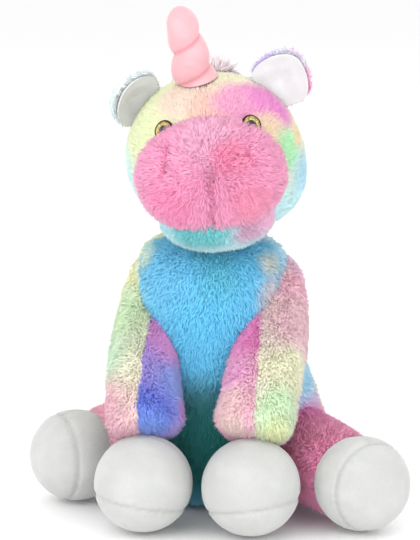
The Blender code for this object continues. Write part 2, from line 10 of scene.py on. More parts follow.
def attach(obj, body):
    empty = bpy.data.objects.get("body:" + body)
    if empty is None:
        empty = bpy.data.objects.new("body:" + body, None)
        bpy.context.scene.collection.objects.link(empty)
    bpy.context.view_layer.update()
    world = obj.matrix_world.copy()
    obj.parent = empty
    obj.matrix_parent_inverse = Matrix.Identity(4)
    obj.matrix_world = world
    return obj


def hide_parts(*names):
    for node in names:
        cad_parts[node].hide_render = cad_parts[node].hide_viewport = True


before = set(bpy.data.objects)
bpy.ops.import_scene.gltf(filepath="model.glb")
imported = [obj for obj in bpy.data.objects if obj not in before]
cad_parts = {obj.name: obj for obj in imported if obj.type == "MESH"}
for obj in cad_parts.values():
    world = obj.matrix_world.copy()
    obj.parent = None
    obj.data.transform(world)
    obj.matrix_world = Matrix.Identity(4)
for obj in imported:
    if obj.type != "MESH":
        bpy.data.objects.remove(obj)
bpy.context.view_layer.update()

MM = 0.001
SIDES = {"left": -1, "right": 1}
SCENE = bpy.context.scene

# Driving places and sizes, the same as the frame's. Rings and routes are in mm.

# Height, middle's y, half width and half depth. The top four rise over the neck joint to the chin.
BODY_RINGS = (
    (0, 14, 58, 47),
    (3, 14, 64, 53),
    (14, 14, 70, 60),
    (32, 14, 71, 62),
    (58, 11, 64, 59),
    (85, 4, 55, 54),
    (110, -4, 49, 49),
    (130, -8, 48, 45),
    (145, -9, 46.5, 41),
    (155, -9, 43, 36),
    (162, -9, 34, 28),
    (166, -9, 20, 16),
)
BELLY_HALF_WIDTH = 40
SIDE_SEAM_Y = -14
NECK = Vector((4, -9, 163)) * MM
NECK_RADIUS = 25 * MM
HEAD_TURN, HEAD_ROLL = math.radians(4), math.radians(-4)
HEAD_CENTRE = Vector((1, -14, 51)) * MM
HEAD_SIZE = Vector((52, 50, 48.5)) * MM
MUZZLE_CENTRE = Vector((1, -56, 45)) * MM
MUZZLE_SIZE = Vector((44, 31, 34)) * MM
JAW_CENTRE = Vector((2, -39, 18)) * MM
JAW_SIZE = Vector((34, 34, 19)) * MM
EYE_SPREAD, EYE_RISE = math.radians(32), math.radians(24.5)
EYE_RADIUS = 6 * MM
HORN_ROOT = Vector((-6, -25, 97)) * MM
HORN_LEAN, HORN_PITCH = math.radians(-8), math.radians(14)
HORN_LENGTH, HORN_RADIUS, HORN_PITCH_SHARE = 46 * MM, 13 * MM, 0.42
EAR_LENGTH, EAR_WIDTH, EAR_PAD = 38 * MM, 33 * MM, 3.4 * MM
EAR_ANGLE = math.radians(49)
EAR_LEAN = {"left": math.radians(56), "right": math.radians(28)}
EAR_CURL = {"left": math.radians(95), "right": math.radians(40)}
EAR_SINK = 7 * MM
EAR_CUP = 3.5 * MM
# Place and radius along each front leg, and how much fuller the plush is there
ARM_ROUTE = ((35.6, -2, 134, 18), (39, -21, 113, 19), (36, -53, 88, 22.5), (31.5, -75, 62, 24))
ARM_FULLER = {"left": (0, 0, 0, 0), "right": (2.5, 2.5, 1, 0)}
FRONT_HOOF = Vector((31.5, -84, 29.2)) * MM
FRONT_HOOF_SIZE = Vector((29.6, 31, 29.2)) * MM
ARM_SEAM_X = 34 * MM
HIP = Vector((42, 0, 33.5)) * MM
HIP_RADIUS = 28 * MM
SPLAY = {"left": math.radians(56), "right": math.radians(38)}
REACH = {"left": 48 * MM, "right": 86 * MM}
HIND_HOOF_SIZE = Vector((29, 27, 28.8)) * MM
MANE_ARC = math.radians(14), math.radians(118)
TAIL_ROOT = Vector((0, 76, 46)) * MM
TAIL_REACH, TAIL_DROP, TAIL_RADIUS = 44 * MM, 34 * MM, 10 * MM

HEAD = Matrix.Translation(NECK) @ Euler((0, HEAD_ROLL, HEAD_TURN)).to_matrix().to_4x4()
FLOOR_CLEARANCE = 0.2 * MM


# Node materials


def linear(rgb):
    """Display values of 0 to 255 as the scene-linear colour that shaders take."""
    share = (min(value, 255) / 255 for value in rgb)
    return [v / 12.92 if v <= 0.04045 else ((v + 0.055) / 1.055) ** 2.4 for v in share] + [1]


PILE_LIFT = 0.10
PILE_GAIN = 1.4


def dye(rgb):
    """A dye a little paler and brighter than it looks in the pile, whose depth darkens it again."""
    pale = linear([value + (255 - value) * PILE_LIFT for value in rgb])
    gain = min(PILE_GAIN, 1 / max(pale[:3]))
    return [value * gain for value in pale[:3]] + [1]


class Graph:
    """A material's node tree, with short ways to add and join nodes."""

    def __init__(self, name):
        self.material = bpy.data.materials.new(name)
        self.material.use_nodes = True
        self.tree = self.material.node_tree
        self.shader = self.tree.nodes["Principled BSDF"]

    def node(self, kind, **values):
        made = self.tree.nodes.new(kind)
        for key, value in values.items():
            if hasattr(made, key):
                setattr(made, key, value)
            else:
                made.inputs[key.replace("_", " ")].default_value = value
        return made

    def join(self, out, into):
        self.tree.links.new(out, into)

    def read(self, name):
        """A value that each point carries: rest, its place, or the numbers height and crease."""
        made = self.node("ShaderNodeAttribute", attribute_name=name)
        return made.outputs["Vector" if name == "rest" else "Fac"]

    def vector(self, operation, a, b):
        """A vector operation. b is a number for SCALE, and the result is one for DISTANCE."""
        made = self.node("ShaderNodeVectorMath", operation=operation)
        self.join(a, made.inputs[0])
        if operation == "SCALE":
            made.inputs["Scale"].default_value = b
        elif isinstance(b, tuple):
            made.inputs[1].default_value = b
        else:
            self.join(b, made.inputs[1])
        return made.outputs["Value" if operation == "DISTANCE" else "Vector"]

    def value(self, operation, a, b):
        made = self.node("ShaderNodeMath", operation=operation)
        for socket, given in zip(made.inputs, (a, b)):
            if isinstance(given, (int, float)):
                socket.default_value = given
            else:
                self.join(given, socket)
        return made.outputs[0]

    def mix(self, factor, a, b, blend="MIX"):
        made = self.node("ShaderNodeMix", data_type="RGBA", blend_type=blend)
        for socket, given in ((made.inputs[0], factor), (made.inputs[6], a), (made.inputs[7], b)):
            if isinstance(given, (int, float, list)):
                socket.default_value = given
            else:
                self.join(given, socket)
        return made.outputs[2]

    def cells(self, where, scale):
        made = self.node("ShaderNodeTexVoronoi", Scale=scale)
        self.join(where, made.inputs["Vector"])
        return made

    def toned(self, colour, light):
        """The colour made darker by one number."""
        grey = self.node("ShaderNodeCombineColor")
        for socket in grey.inputs:
            self.join(light, socket)
        return self.mix(1.0, colour, grey.outputs[0], "MULTIPLY")

    def ranged(self, value, low, high, to_low=0.0, to_high=1.0):
        made = self.node("ShaderNodeMapRange", interpolation_type="SMOOTHSTEP")
        self.join(value, made.inputs[0])
        for i, number in enumerate((low, high, to_low, to_high), start=1):
            made.inputs[i].default_value = number
        return made.outputs[0]

    def noise(self, where, scale, detail=2.0):
        made = self.node("ShaderNodeTexNoise", Scale=scale, Detail=detail)
        self.join(where, made.inputs["Vector"])
        return made

    def bump(self, height, strength, distance):
        made = self.node("ShaderNodeBump", Strength=strength, Distance=distance)
        self.join(height, made.inputs["Height"])
        self.join(made.outputs[0], self.shader.inputs["Normal"])

    def finish(self, colour, roughness, sheen=0.0, **more):
        self.join(colour, self.shader.inputs["Base Color"])
        self.shader.inputs["Roughness"].default_value = roughness
        self.shader.inputs["Sheen Weight"].default_value = sheen
        self.shader.inputs["Sheen Roughness"].default_value = 0.6
        for key, number in more.items():
            self.shader.inputs[key.replace("_", " ")].default_value = number
        return self.material


# The pile's painted shade: how dark it is painted at the tufts' roots and in creases, and how much of
# a crease colour shows
ROOT_SHADE = 0.84
STRAND_SHADE = 0.93
STRAND_SCALE = 700.0
KNIT_SCALE = 900.0
DYE_WAVE_SCALE = 28.0
DYE_STRAY = 18 * MM
SPOT_FULL, SPOT_END = 0.45, 1.25
CREASE_SHADE = 0.25
CREASE_SHADE_COLOUR_SHARE = 0.7


def pile_material(name, base, spots, strands=STRAND_SCALE, root_shade=ROOT_SHADE, crease_shade_colour=None):
    """Tie-dyed pile, with painted shade that darkens it towards its roots. A spot is a place and a
    radius in mm, and a colour that fades out round it: mostly dyes, and on the belly and jaw painted
    shade.
    crease_shade_colour is a colour of painted shade in creases, which are otherwise painted only
    darker."""
    g = Graph(name)
    rest = g.read("rest")
    wave = g.noise(rest, DYE_WAVE_SCALE, 3.0).outputs["Color"]
    stray = g.vector("SCALE", g.vector("SUBTRACT", wave, (0.5, 0.5, 0.5)), DYE_STRAY)
    place = g.vector("ADD", rest, stray)
    colour = dye(base)
    for x, y, z, radius, rgb in spots:
        away = g.vector("DISTANCE", place, (x * MM, y * MM, z * MM))
        share = g.ranged(away, radius * SPOT_END * MM, radius * SPOT_FULL * MM)
        colour = g.mix(share, colour, dye(rgb))
    strand = g.ranged(g.noise(rest, strands).outputs["Fac"], 0.3, 0.7, STRAND_SHADE, 1.04)
    # Painted shade: darker towards the tufts' roots, where shade falls in the pile
    depth = g.ranged(g.read("height"), 0.0, 0.6, root_shade, 1.0)
    light = g.value("MULTIPLY", strand, depth)
    # Painted shade in creases and seams: darker there, or tinted with the crease colour
    crease = g.ranged(g.read("crease"), 0.15, 1.0)
    if crease_shade_colour is None:
        folded = g.value("SUBTRACT", 1.0, g.value("MULTIPLY", crease, CREASE_SHADE))
        light = g.value("MULTIPLY", light, folded)
    else:
        colour = g.mix(g.value("MULTIPLY", crease, CREASE_SHADE_COLOUR_SHARE), colour, linear(crease_shade_colour))
    # Painted shade is tinted rather than grey: where the pile is painted darker, its colour is
    # painted more saturated, as light that bounces in deep pile would be
    shade_tint = g.node("ShaderNodeHueSaturation")
    g.join(g.toned(colour, light), shade_tint.inputs["Color"])
    g.join(g.ranged(light, 0.6, 1.0, 1.15, 1.0), shade_tint.inputs["Saturation"])
    g.bump(g.cells(rest, KNIT_SCALE).outputs["Distance"], 0.3, 0.4 * MM)
    return g.finish(shade_tint.outputs["Color"], 0.88, sheen=0.25, Specular_IOR_Level=0.2)


def velour_material(name, rgb):
    """White velour: a dense, very short nap that lies a little unevenly, with painted shade in its
    seams.
    """
    g = Graph(name)
    rest = g.read("rest")
    nap = g.noise(rest, 1500.0, 3.0).outputs["Fac"]
    lie = g.ranged(g.noise(rest, 60.0).outputs["Fac"], 0.35, 0.7)
    colour = g.mix(lie, linear([v - 7 for v in rgb]), linear(rgb))
    fine = g.ranged(nap, 0.3, 0.62, 0.93, 1.0)
    # Painted shade: darker along seams and creases
    crease = g.ranged(g.read("crease"), 0.0, 1.0, 1.0, 0.86)
    colour = g.toned(colour, g.value("MULTIPLY", fine, crease))
    g.bump(nap, 0.55, 0.35 * MM)
    return g.finish(colour, 0.9, sheen=0.35, Specular_IOR_Level=0.15)


def satin_material(name, rgb, thread=(215, 130, 145), crease_shade_colour=(206, 128, 140)):
    """Brushed satin with fine threads that run round the horn, and painted shade in its spiral
    groove.
    """
    g = Graph(name)
    rest = g.read("rest")
    squeeze = g.node("ShaderNodeMapping")
    squeeze.inputs["Scale"].default_value = (0.25, 0.25, 1.0)
    g.join(rest, squeeze.inputs["Vector"])
    threads = g.noise(squeeze.outputs[0], 1800.0).outputs["Fac"]
    lie = g.ranged(g.noise(rest, 90.0).outputs["Fac"], 0.35, 0.65)
    colour = g.mix(lie, linear([v * 0.95 for v in rgb]), linear(rgb))
    colour = g.mix(g.ranged(threads, 0.35, 0.65, 0.0, 0.10), colour, linear(thread))
    # Painted shade: a darker pink in the spiral groove
    colour = g.mix(g.ranged(g.read("crease"), 0.0, 1.0, 0.0, 0.75), colour, linear(crease_shade_colour))
    g.bump(threads, 0.35, 0.25 * MM)
    return g.finish(colour, 0.55, sheen=0.3, Specular_IOR_Level=0.35)


def plastic_material(name, rgb, roughness):
    """Moulded plastic with a fine grain."""
    g = Graph(name)
    where = g.node("ShaderNodeTexCoord").outputs["Object"]
    grain = g.noise(where, 900.0).outputs["Fac"]
    colour = g.mix(grain, linear([v * 0.85 for v in rgb]), linear(rgb))
    g.bump(grain, 0.08, 0.1 * MM)
    return g.finish(colour, roughness)


FLAKE_SCALE = 2300.0
# The pupil's radius as a share of the eye's, and its edge's softness
PUPIL, PUPIL_EDGE = 0.43, 0.03


def glitter_material(name):
    """Gold flakes under the clear dome, each painted lighter or darker at random as a painted glint
    for its tilt, around a black pupil.
    """
    g = Graph(name)
    flakes = g.cells(g.read("rest"), FLAKE_SCALE)
    split = g.node("ShaderNodeSeparateColor")
    g.join(flakes.outputs["Color"], split.inputs[0])
    # Painted glint: each flake gets a random brightness, as if tilted towards or away from the light
    painted_glint = g.ranged(split.outputs[0], 0.1, 0.9)
    colour = g.mix(painted_glint, linear((120, 82, 18)), linear((252, 226, 128)))
    gold = g.ranged(g.read("crease"), PUPIL - PUPIL_EDGE, PUPIL + PUPIL_EDGE)
    colour = g.mix(gold, linear((8, 7, 7)), colour)
    g.join(g.value("MULTIPLY", gold, 0.75), g.shader.inputs["Metallic"])
    g.bump(flakes.outputs["Distance"], 0.6, 0.3 * MM)
    return g.finish(colour, 0.28)


def lens_material(name):
    """Clear plastic with a trace of haze."""
    g = Graph(name)
    where = g.node("ShaderNodeTexCoord").outputs["Object"]
    haze = g.noise(where, 120.0, 1.0).outputs["Fac"]
    colour = g.mix(haze, linear((250, 250, 250)), linear((255, 255, 255)))
    return g.finish(colour, 0.02, Transmission_Weight=1.0, IOR=1.3)


# Forms


def spline(stations, steps):
    """Points on a smooth curve through the stations, steps of them to each stretch."""
    rows = [np.array(s, float) for s in stations]
    rows = [rows[0] * 2 - rows[1], *rows, rows[-1] * 2 - rows[-2]]
    out = []
    for a, b, c, d in zip(rows, rows[1:], rows[2:], rows[3:]):
        for i in range(steps):
            t = i / steps
            bend = (2 * a - 5 * b + 4 * c - d) * t * t + (3 * b - a - 3 * c + d) * t**3
            out.append((2 * b + (c - a) * t + bend) / 2)
    return [*out, rows[-2]]


def skin_rings(rings, start, end):
    """A closed skin through rings of points, ended by a point at each end."""
    bm = bmesh.new()
    loops = [[bm.verts.new(p) for p in ring] for ring in rings]
    count = len(loops[0])
    for a, b in zip(loops, loops[1:]):
        for i in range(count):
            j = (i + 1) % count
            bm.faces.new((a[i], a[j], b[j], b[i]))
    for loop, tip in ((loops[0], start), (loops[-1], end)):
        point = bm.verts.new(tip)
        for i in range(count):
            bm.faces.new((loop[i], loop[(i + 1) % count], point))
    bmesh.ops.recalc_face_normals(bm, faces=bm.faces[:])
    return bm


def ring(centre, across, up, width, height, count):
    """Points on an oval of this half width and half height."""
    turns = [2 * math.pi * i / count for i in range(count)]
    return [centre + across * width * math.cos(t) + up * height * math.sin(t) for t in turns]


def ball(size, centre=(0, 0, 0), axis=None, segments=40, rings=24):
    """A ball scaled by size, whose poles lie along axis."""
    bm = bmesh.new()
    bmesh.ops.create_uvsphere(bm, u_segments=segments, v_segments=rings, radius=1)
    if axis is not None:
        turn = Vector((0, 0, 1)).rotation_difference(Vector(axis)).to_matrix()
        bmesh.ops.rotate(bm, matrix=turn, verts=bm.verts)
    bmesh.ops.scale(bm, vec=Vector(size), verts=bm.verts)
    bmesh.ops.translate(bm, vec=Vector(centre), verts=bm.verts)
    return bm


BODY_SEGMENTS, LIMB_SEGMENTS = 48, 32
# Angles of the rings of a limb's round start and of its end
START_TURNS, END_TURNS = (0.3, 0.6, 0.9, 1.2), (0.35, 0.7, 1.05, 1.35)


def body_form():
    """The body's skin through its rings, flat where it sits."""
    rings = []
    for z, y, width, depth in spline(BODY_RINGS, 3):
        middle = Vector((0, y, max(z, 0))) * MM
        rings.append(
            ring(middle, Vector((1, 0, 0)), Vector((0, 1, 0)), width * MM, depth * MM, BODY_SEGMENTS)
        )
    top = Vector((0, BODY_RINGS[-1][1], BODY_RINGS[-1][0] + 2)) * MM
    return skin_rings(rings, Vector((0, 14, 0)) * MM, top)


def tube_form(stations, end_round):
    """A stuffed tube through places and radii in mm. It starts with a ball, and ends in a dome
    that is end_round of its radius high."""
    route = spline(stations, 6)
    points = [Vector(row[:3]) * MM for row in route]
    rings = []

    def add(centre, radius):
        rings.append(ring(centre, across, up, radius, radius, LIMB_SEGMENTS))

    for i, row in enumerate(route):
        along = (points[min(i + 1, len(points) - 1)] - points[max(i - 1, 0)]).normalized()
        across = (Vector((1, 0, 0)) - along * along.x).normalized()
        up = along.cross(across)
        radius = row[3] * MM
        if i == 0:
            start = points[0] - along * radius
            for t in START_TURNS:
                add(points[0] - along * radius * math.cos(t), radius * math.sin(t))
        add(points[i], radius)
    for t in END_TURNS:
        add(points[-1] + along * radius * end_round * math.sin(t), radius * math.cos(t))
    return skin_rings(rings, start, points[-1] + along * radius * end_round)


def arm_form(side):
    rows = zip(ARM_ROUTE, ARM_FULLER[side])
    return tube_form([(x * SIDES[side], y - more, z, r + more) for (x, y, z, r), more in rows], 0.35)


def leg_way(side):
    return Vector((math.sin(SPLAY[side]) * SIDES[side], -math.cos(SPLAY[side]), 0))


def mirrored(place, side):
    """The place on this side that matches one given for the right side."""
    return Vector((place.x * SIDES[side], place.y, place.z))


def hind_hoof_centre(side):
    low = mirrored(HIP, side)
    low.z = HIND_HOOF_SIZE.z
    return low + leg_way(side) * REACH[side]


def leg_form(side):
    hip = mirrored(HIP, side) / MM
    ankle = hind_hoof_centre(side) / MM - leg_way(side) * HIND_HOOF_SIZE.y / MM * 0.4
    sizes = ((0, 1), (0.4, 1), (0.75, 0.96), (1, 0.88))
    return tube_form([(*hip.lerp(ankle, t), HIP_RADIUS / MM * size) for t, size in sizes], 0.3)


CHEEK = Vector((44, -4, -26)) * MM
CHEEK_REACH, CHEEK_SWELL = 24 * MM, 6 * MM


def head_form():
    """The head's ball, a little fuller at its right cheek."""
    bm = ball(HEAD_SIZE, HEAD_CENTRE)
    for vert in bm.verts:
        away = (vert.co - HEAD_CENTRE - CHEEK).length
        swell = CHEEK_SWELL * math.exp(-((away / CHEEK_REACH) ** 2))
        vert.co += (vert.co - HEAD_CENTRE).normalized() * swell
    return bm


MUZZLE_DEPTH, NOSE_DENT = 0.98, 0.008


def muzzle_form():
    """A wide oval muzzle, flattened a little where the nose is."""
    bm = ball(MUZZLE_SIZE, axis=(0, -1, 0))
    for vert in bm.verts:
        middle = math.cos(math.pi * vert.co.x / MUZZLE_SIZE.x)
        vert.co.y *= MUZZLE_DEPTH - NOSE_DENT * middle
    bmesh.ops.translate(bm, vec=MUZZLE_CENTRE, verts=bm.verts)
    return bm


def mesh_of(name, bm):
    mesh = bpy.data.meshes.new(name)
    bm.to_mesh(mesh)
    bm.free()
    return mesh


def placed(bm, matrix):
    bmesh.ops.transform(bm, matrix=matrix, verts=bm.verts)
    return bm


def new_object(name, data):
    made = bpy.data.objects.new(name, data)
    SCENE.collection.objects.link(made)
    return made


def taken(obj):
    """The object's mesh with its modifiers applied, as new data."""
    graph = bpy.context.evaluated_depsgraph_get()
    return bpy.data.meshes.new_from_object(obj.evaluated_get(graph))


def points_of(mesh):
    out = np.empty(len(mesh.vertices) * 3)
    mesh.vertices.foreach_get("co", out)
    return out.reshape(-1, 3)


# Stuffing: each form is remeshed, blown up as cloth and smoothed

VOXEL, FINE_VOXEL = 4.5 * MM, 3.6 * MM
SHRINK = 3.2 * MM
VELOUR_SHRINK = 0.4 * MM
SIM_FRAMES = 20
SWELL_CAP = 3.2 * MM
CLOTH = {
    "quality": 4,
    "mass": 0.3,
    "tension_stiffness": 12,
    "compression_stiffness": 12,
    "bending_stiffness": 0.4,
    "use_pressure": True,
    "uniform_pressure_force": 4,
}
TINY = 1e-12


def remeshed(name, bm, voxel, shrink):
    """The form as an even mesh, smoothed and pulled in by shrink, ready to be blown up."""
    made = new_object(name, mesh_of(name, bm))
    grid = made.modifiers.new("grid", "REMESH")
    grid.mode = "VOXEL"
    grid.voxel_size = voxel
    smooth = made.modifiers.new("smooth", "SMOOTH")
    smooth.iterations = 4
    pull = made.modifiers.new("pull", "DISPLACE")
    pull.mid_level = 0
    pull.strength = -shrink
    fresh = taken(made)
    made.modifiers.clear()
    made.data = fresh
    return made


def stuffed(forms):
    """Blows all the forms up as cloth, caps how far each point goes, and subdivides them."""
    before = {o.name: points_of(o.data) for o in forms}
    for o in forms:
        cloth = o.modifiers.new("cloth", "CLOTH")
        for key, value in CLOTH.items():
            setattr(cloth.settings, key, value)
        cloth.settings.effector_weights.gravity = 0
        cloth.collision_settings.use_collision = False
    for step in range(1, SIM_FRAMES + 1):
        SCENE.frame_set(step)
    for o in forms:
        mesh = taken(o)
        o.modifiers.clear()
        start = before[o.name]
        move = points_of(mesh) - start
        far = np.linalg.norm(move, axis=1, keepdims=True)
        move *= np.minimum(1, SWELL_CAP / np.maximum(far, TINY))
        mesh.vertices.foreach_set("co", (start + move).ravel())
        o.data = mesh
        o.data.update()
        o.modifiers.new("fine", "SUBSURF").levels = 1
        o.data, old = taken(o), o.data
        o.modifiers.clear()
        bpy.data.meshes.remove(old)
    SCENE.frame_set(1)


# Pile: every tuft is a small tapered solid rooted on the skin


MAP_MARGIN = 0.02


class Skin:
    """Triangles of a skin, with smooth normals, its map and any creases."""

    def __init__(self, mesh, crease=None):
        self.points = points_of(mesh)
        mesh.calc_loop_triangles()
        count = len(mesh.loop_triangles)
        self.tris = np.empty(count * 3, np.int64)
        mesh.loop_triangles.foreach_get("vertices", self.tris)
        self.tris = self.tris.reshape(-1, 3)
        self.crease = np.zeros(len(self.points)) if crease is None else crease
        self.update()

    def update(self):
        p = self.points[self.tris]
        cross = np.cross(p[:, 1] - p[:, 0], p[:, 2] - p[:, 0])
        self.area = np.linalg.norm(cross, axis=1) / 2
        self.face_normal = cross / np.maximum(2 * self.area[:, None], TINY)
        normals = np.zeros_like(self.points)
        for corner in range(3):
            np.add.at(normals, self.tris[:, corner], cross)
        self.normals = normals / np.maximum(np.linalg.norm(normals, axis=1, keepdims=True), TINY)

    def part(self, mask):
        """The same skin with only some of its triangles."""
        used, back = np.unique(self.tris[mask], return_inverse=True)
        made = object.__new__(Skin)
        made.points, made.crease = self.points[used], self.crease[used]
        made.normals = self.normals[used]
        made.tris = back.reshape(-1, 3)
        made.area, made.face_normal = self.area[mask], self.face_normal[mask]
        return made

    def centres(self):
        return self.points[self.tris].mean(axis=1)

    def uv(self):
        """Six flat views of the skin, side by side, as a map of each triangle's corners."""
        low, high = self.points.min(axis=0), self.points.max(axis=0)
        size = max(high - low)
        axis = np.abs(self.face_normal).argmax(axis=1)
        sign = np.take_along_axis(self.face_normal, axis[:, None], 1)[:, 0] > 0
        flat = (self.points - low) / size
        others = np.array([[1, 2], [0, 2], [0, 1]])[axis]
        corner = flat[self.tris]
        u = np.take_along_axis(corner, others[:, None, 0:1], 2)[:, :, 0]
        v = np.take_along_axis(corner, others[:, None, 1:2], 2)[:, :, 0]
        room = 1 - 2 * MAP_MARGIN
        u = (axis[:, None] + MAP_MARGIN + u * room) / 3
        v = (sign[:, None] + MAP_MARGIN + v * room) / 2
        return np.stack([u, v], axis=2)


WAVES, WAVE_SUM = 6, 2.4


def wander(points, wavelength, seed):
    """A smooth vector field that repeats nowhere nearby, for combing the pile into clumps."""
    rng = np.random.default_rng(seed)
    out = np.zeros_like(points)
    for _ in range(WAVES):
        wave = rng.normal(size=(3, 3))
        wave /= np.linalg.norm(wave, axis=1, keepdims=True)
        phase = rng.uniform(0, 2 * math.pi, 3)
        scale = rng.uniform(0.7, 1.5)
        out += np.sin(points @ wave.T * (2 * math.pi * scale / wavelength) + phase)
    return out / WAVE_SUM


def unit(v):
    return v / np.maximum(np.linalg.norm(v, axis=1, keepdims=True), TINY)


def piece_from(name, points, tris, normals, uv, rest, height, crease):
    """One mesh from arrays, with its map, its normals and the values that its material reads."""
    mesh = bpy.data.meshes.new(name)
    mesh.vertices.add(len(points))
    mesh.vertices.foreach_set("co", points.astype(np.float32).ravel())
    mesh.loops.add(tris.size)
    mesh.loops.foreach_set("vertex_index", tris.astype(np.int32).ravel())
    mesh.polygons.add(len(tris))
    mesh.polygons.foreach_set("loop_start", np.arange(0, tris.size, 3, dtype=np.int32))
    mesh.update(calc_edges=True)
    mesh.polygons.foreach_set("use_smooth", np.ones(len(tris), bool))
    layer = mesh.uv_layers.new(name="OFBake")
    layer.uv.foreach_set("vector", uv.astype(np.float32).ravel())
    where = mesh.attributes.new("rest", "FLOAT_VECTOR", "POINT")
    where.data.foreach_set("vector", rest.astype(np.float32).ravel())
    for label, values in (("height", height), ("crease", crease)):
        made = mesh.attributes.new(label, "FLOAT", "POINT")
        made.data.foreach_set("value", values.astype(np.float32))
    mesh.normals_split_custom_set_from_vertices(normals.astype(np.float32))
    return new_object(name, mesh)


def spike_faces(rings):
    """The triangles of one tapered solid, whose points are rings of three and then its tip."""
    sides = [(3 * k + i, 3 * k + (i + 1) % 3) for k in range(rings - 1) for i in range(3)]
    faces = [face for a, b in sides for face in ((a, b, b + 3), (a, b + 3, a + 3))]
    last = 3 * (rings - 1)
    return np.array([*faces, *((last + i, last + (i + 1) % 3, last + 3) for i in range(3))])


def repeated_faces(faces, points_each, count):
    """The faces of count solids alike, in arrays that follow one another."""
    return (points_each * np.arange(count)[:, None, None] + faces[None]).reshape(-1, 3)


# A tuft's length varies between shares of what is asked for, its width by a share either way, and
# both thin out from its middle ring to its tip. One shorter than BALD of its length is left out.
TUFT_SHORT, TUFT_LONG, TUFT_UNEVEN, CLUMP_SWELL = 0.72, 1.12, 0.25, 0.08
TUFT_MIDDLE, MIDDLE_WIDTH, MIDDLE_HEIGHT, BALD = 0.55, 0.72, 0.6, 0.02


def tufts_on(
    skin, uv_all, count, length, width, seed, curved, comb, lean=0.5, messy=0.35, clump=0.35,
    clump_size=9 * MM, trim=None, bend=0.5, soft=0.72, under=0.6 * MM,
):
    """count tapered solids rooted on the skin. Curved ones have a ring at their middle.
    comb is a direction, or a function of points, that the tips lean to. trim is a function of
    points that gives each one's share of the length, and 0 leaves it out."""
    rng = np.random.default_rng(seed)
    chosen = rng.choice(len(skin.tris), size=count, p=skin.area / skin.area.sum())
    b = rng.dirichlet((1, 1, 1), size=count)
    corners = skin.tris[chosen]
    root = (skin.points[corners] * b[:, :, None]).sum(axis=1)
    normal = unit((skin.normals[corners] * b[:, :, None]).sum(axis=1))
    uv = (uv_all[chosen] * b[:, :, None]).sum(axis=1)
    crease = (skin.crease[corners] * b).sum(axis=1)
    swirl = wander(root, clump_size * 2, seed + 7)[:, 0]
    share = rng.uniform(TUFT_SHORT, TUFT_LONG, size=count) * (1 + CLUMP_SWELL * swirl)
    if trim is not None:
        factor = trim(root)
        kept = factor > BALD
        root, normal, uv, crease = root[kept], normal[kept], uv[kept], crease[kept]
        share = share[kept] * factor[kept]
        count = len(root)
    field = comb(root) if callable(comb) else np.tile(np.array(comb, float), (count, 1))
    field = field + clump * wander(root, clump_size, seed + 1)
    field += messy * rng.normal(size=(count, 3))
    flat = field - normal * (field * normal).sum(axis=1, keepdims=True)
    way = unit(normal + flat * lean)
    tip_way = unit(normal * (1 - bend * 0.5) + flat * (lean + bend))
    side = unit(np.cross(way, rng.normal(size=(count, 3))))
    other = np.cross(way, side)
    long = (length * share)[:, None]
    wide = width * rng.uniform(1 - TUFT_UNEVEN, 1 + TUFT_UNEVEN, size=count)[:, None] / 2
    middle = root + way * long * TUFT_MIDDLE
    rings = 2 if curved else 1
    each = 3 * rings + 1
    tufts = np.empty((count, each, 3))
    for i in range(3):
        t = 2 * math.pi * i / 3
        out = side * math.cos(t) + other * math.sin(t)
        tufts[:, i] = root - normal * under + out * wide
        if curved:
            tufts[:, 3 + i] = middle + out * wide * MIDDLE_WIDTH
    tufts[:, -1] = middle + tip_way * long * (1 - TUFT_MIDDLE)
    faces = spike_faces(rings)
    own = unit((tufts - (root + way * long * 0.5)[:, None]).reshape(-1, 3))
    shade = unit(own * (1 - soft) + np.repeat(normal, each, axis=0) * soft)
    heights = [0, 0, 0, *([MIDDLE_HEIGHT] * 3 if curved else []), 1]
    return (
        tufts.reshape(-1, 3), repeated_faces(faces, each, count), shade,
        np.repeat(uv, faces.size, axis=0), np.repeat(root, each, axis=0),
        np.tile(heights, count), np.repeat(crease, each),
    )


# A hair's length and width, as shares of a tuft's
HAIR_LENGTH, HAIR_WIDTH = 0.92, 0.7


def pile(name, skin, count, length, width, comb, seed, fine=2.2, **style):
    """The skin, count curved tufts on it, and fine times as many straight hairs between them.
    length and width are a tuft's, in mm, and style is more of what tufts_on takes."""
    length, width = length * MM, width * MM
    uv_all = skin.uv()
    groups = [(
        skin.points, skin.tris, skin.normals, uv_all.reshape(-1, 2), skin.points,
        np.zeros(len(skin.points)), skin.crease,
    )]
    groups.append(tufts_on(skin, uv_all, count, length, width, seed, True, comb, **style))
    groups.append(tufts_on(
        skin, uv_all, int(count * fine), length * HAIR_LENGTH, width * HAIR_WIDTH, seed + 500,
        False, comb, **style,
    ))
    first = 0
    tris = []
    for group in groups:
        tris.append(group[1] + first)
        first += len(group[0])
    points, _, normals, uv, rest, height, crease = (np.concatenate(rows) for rows in zip(*groups))
    points[:, 2] = np.maximum(points[:, 2], FLOOR_CLEARANCE)
    return piece_from(name, points, np.concatenate(tris), normals, uv, rest, height, crease)


def smooth_piece(name, skin):
    """A skin with no pile."""
    return piece_from(
        name, skin.points, skin.tris, skin.normals, skin.uv().reshape(-1, 2), skin.points,
        np.ones(len(skin.points)), skin.crease,
    )


def finish(piece, body, material, replaced):
    """Gives the piece its material and its body, and hides the frame's nodes that it stands for."""
    piece.data.materials.append(material)
    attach(piece, body)
    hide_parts(*replaced)


def plush(name, body, skin, base_and_spots, slot, replaced, padded, **style):
    """A piece of pile whose own colours are a base and its spots: dyes, and on the belly and jaw some
    painted shade.
    """
    material = pile_material(name.replace("plush", "pile"), *base_and_spots)
    finish(pile(name, skin, **style), body, material, replaced)


def away_from(centre):
    """A comb that leads away from a place."""
    centre = np.array(centre)
    return lambda points: unit(points - centre)


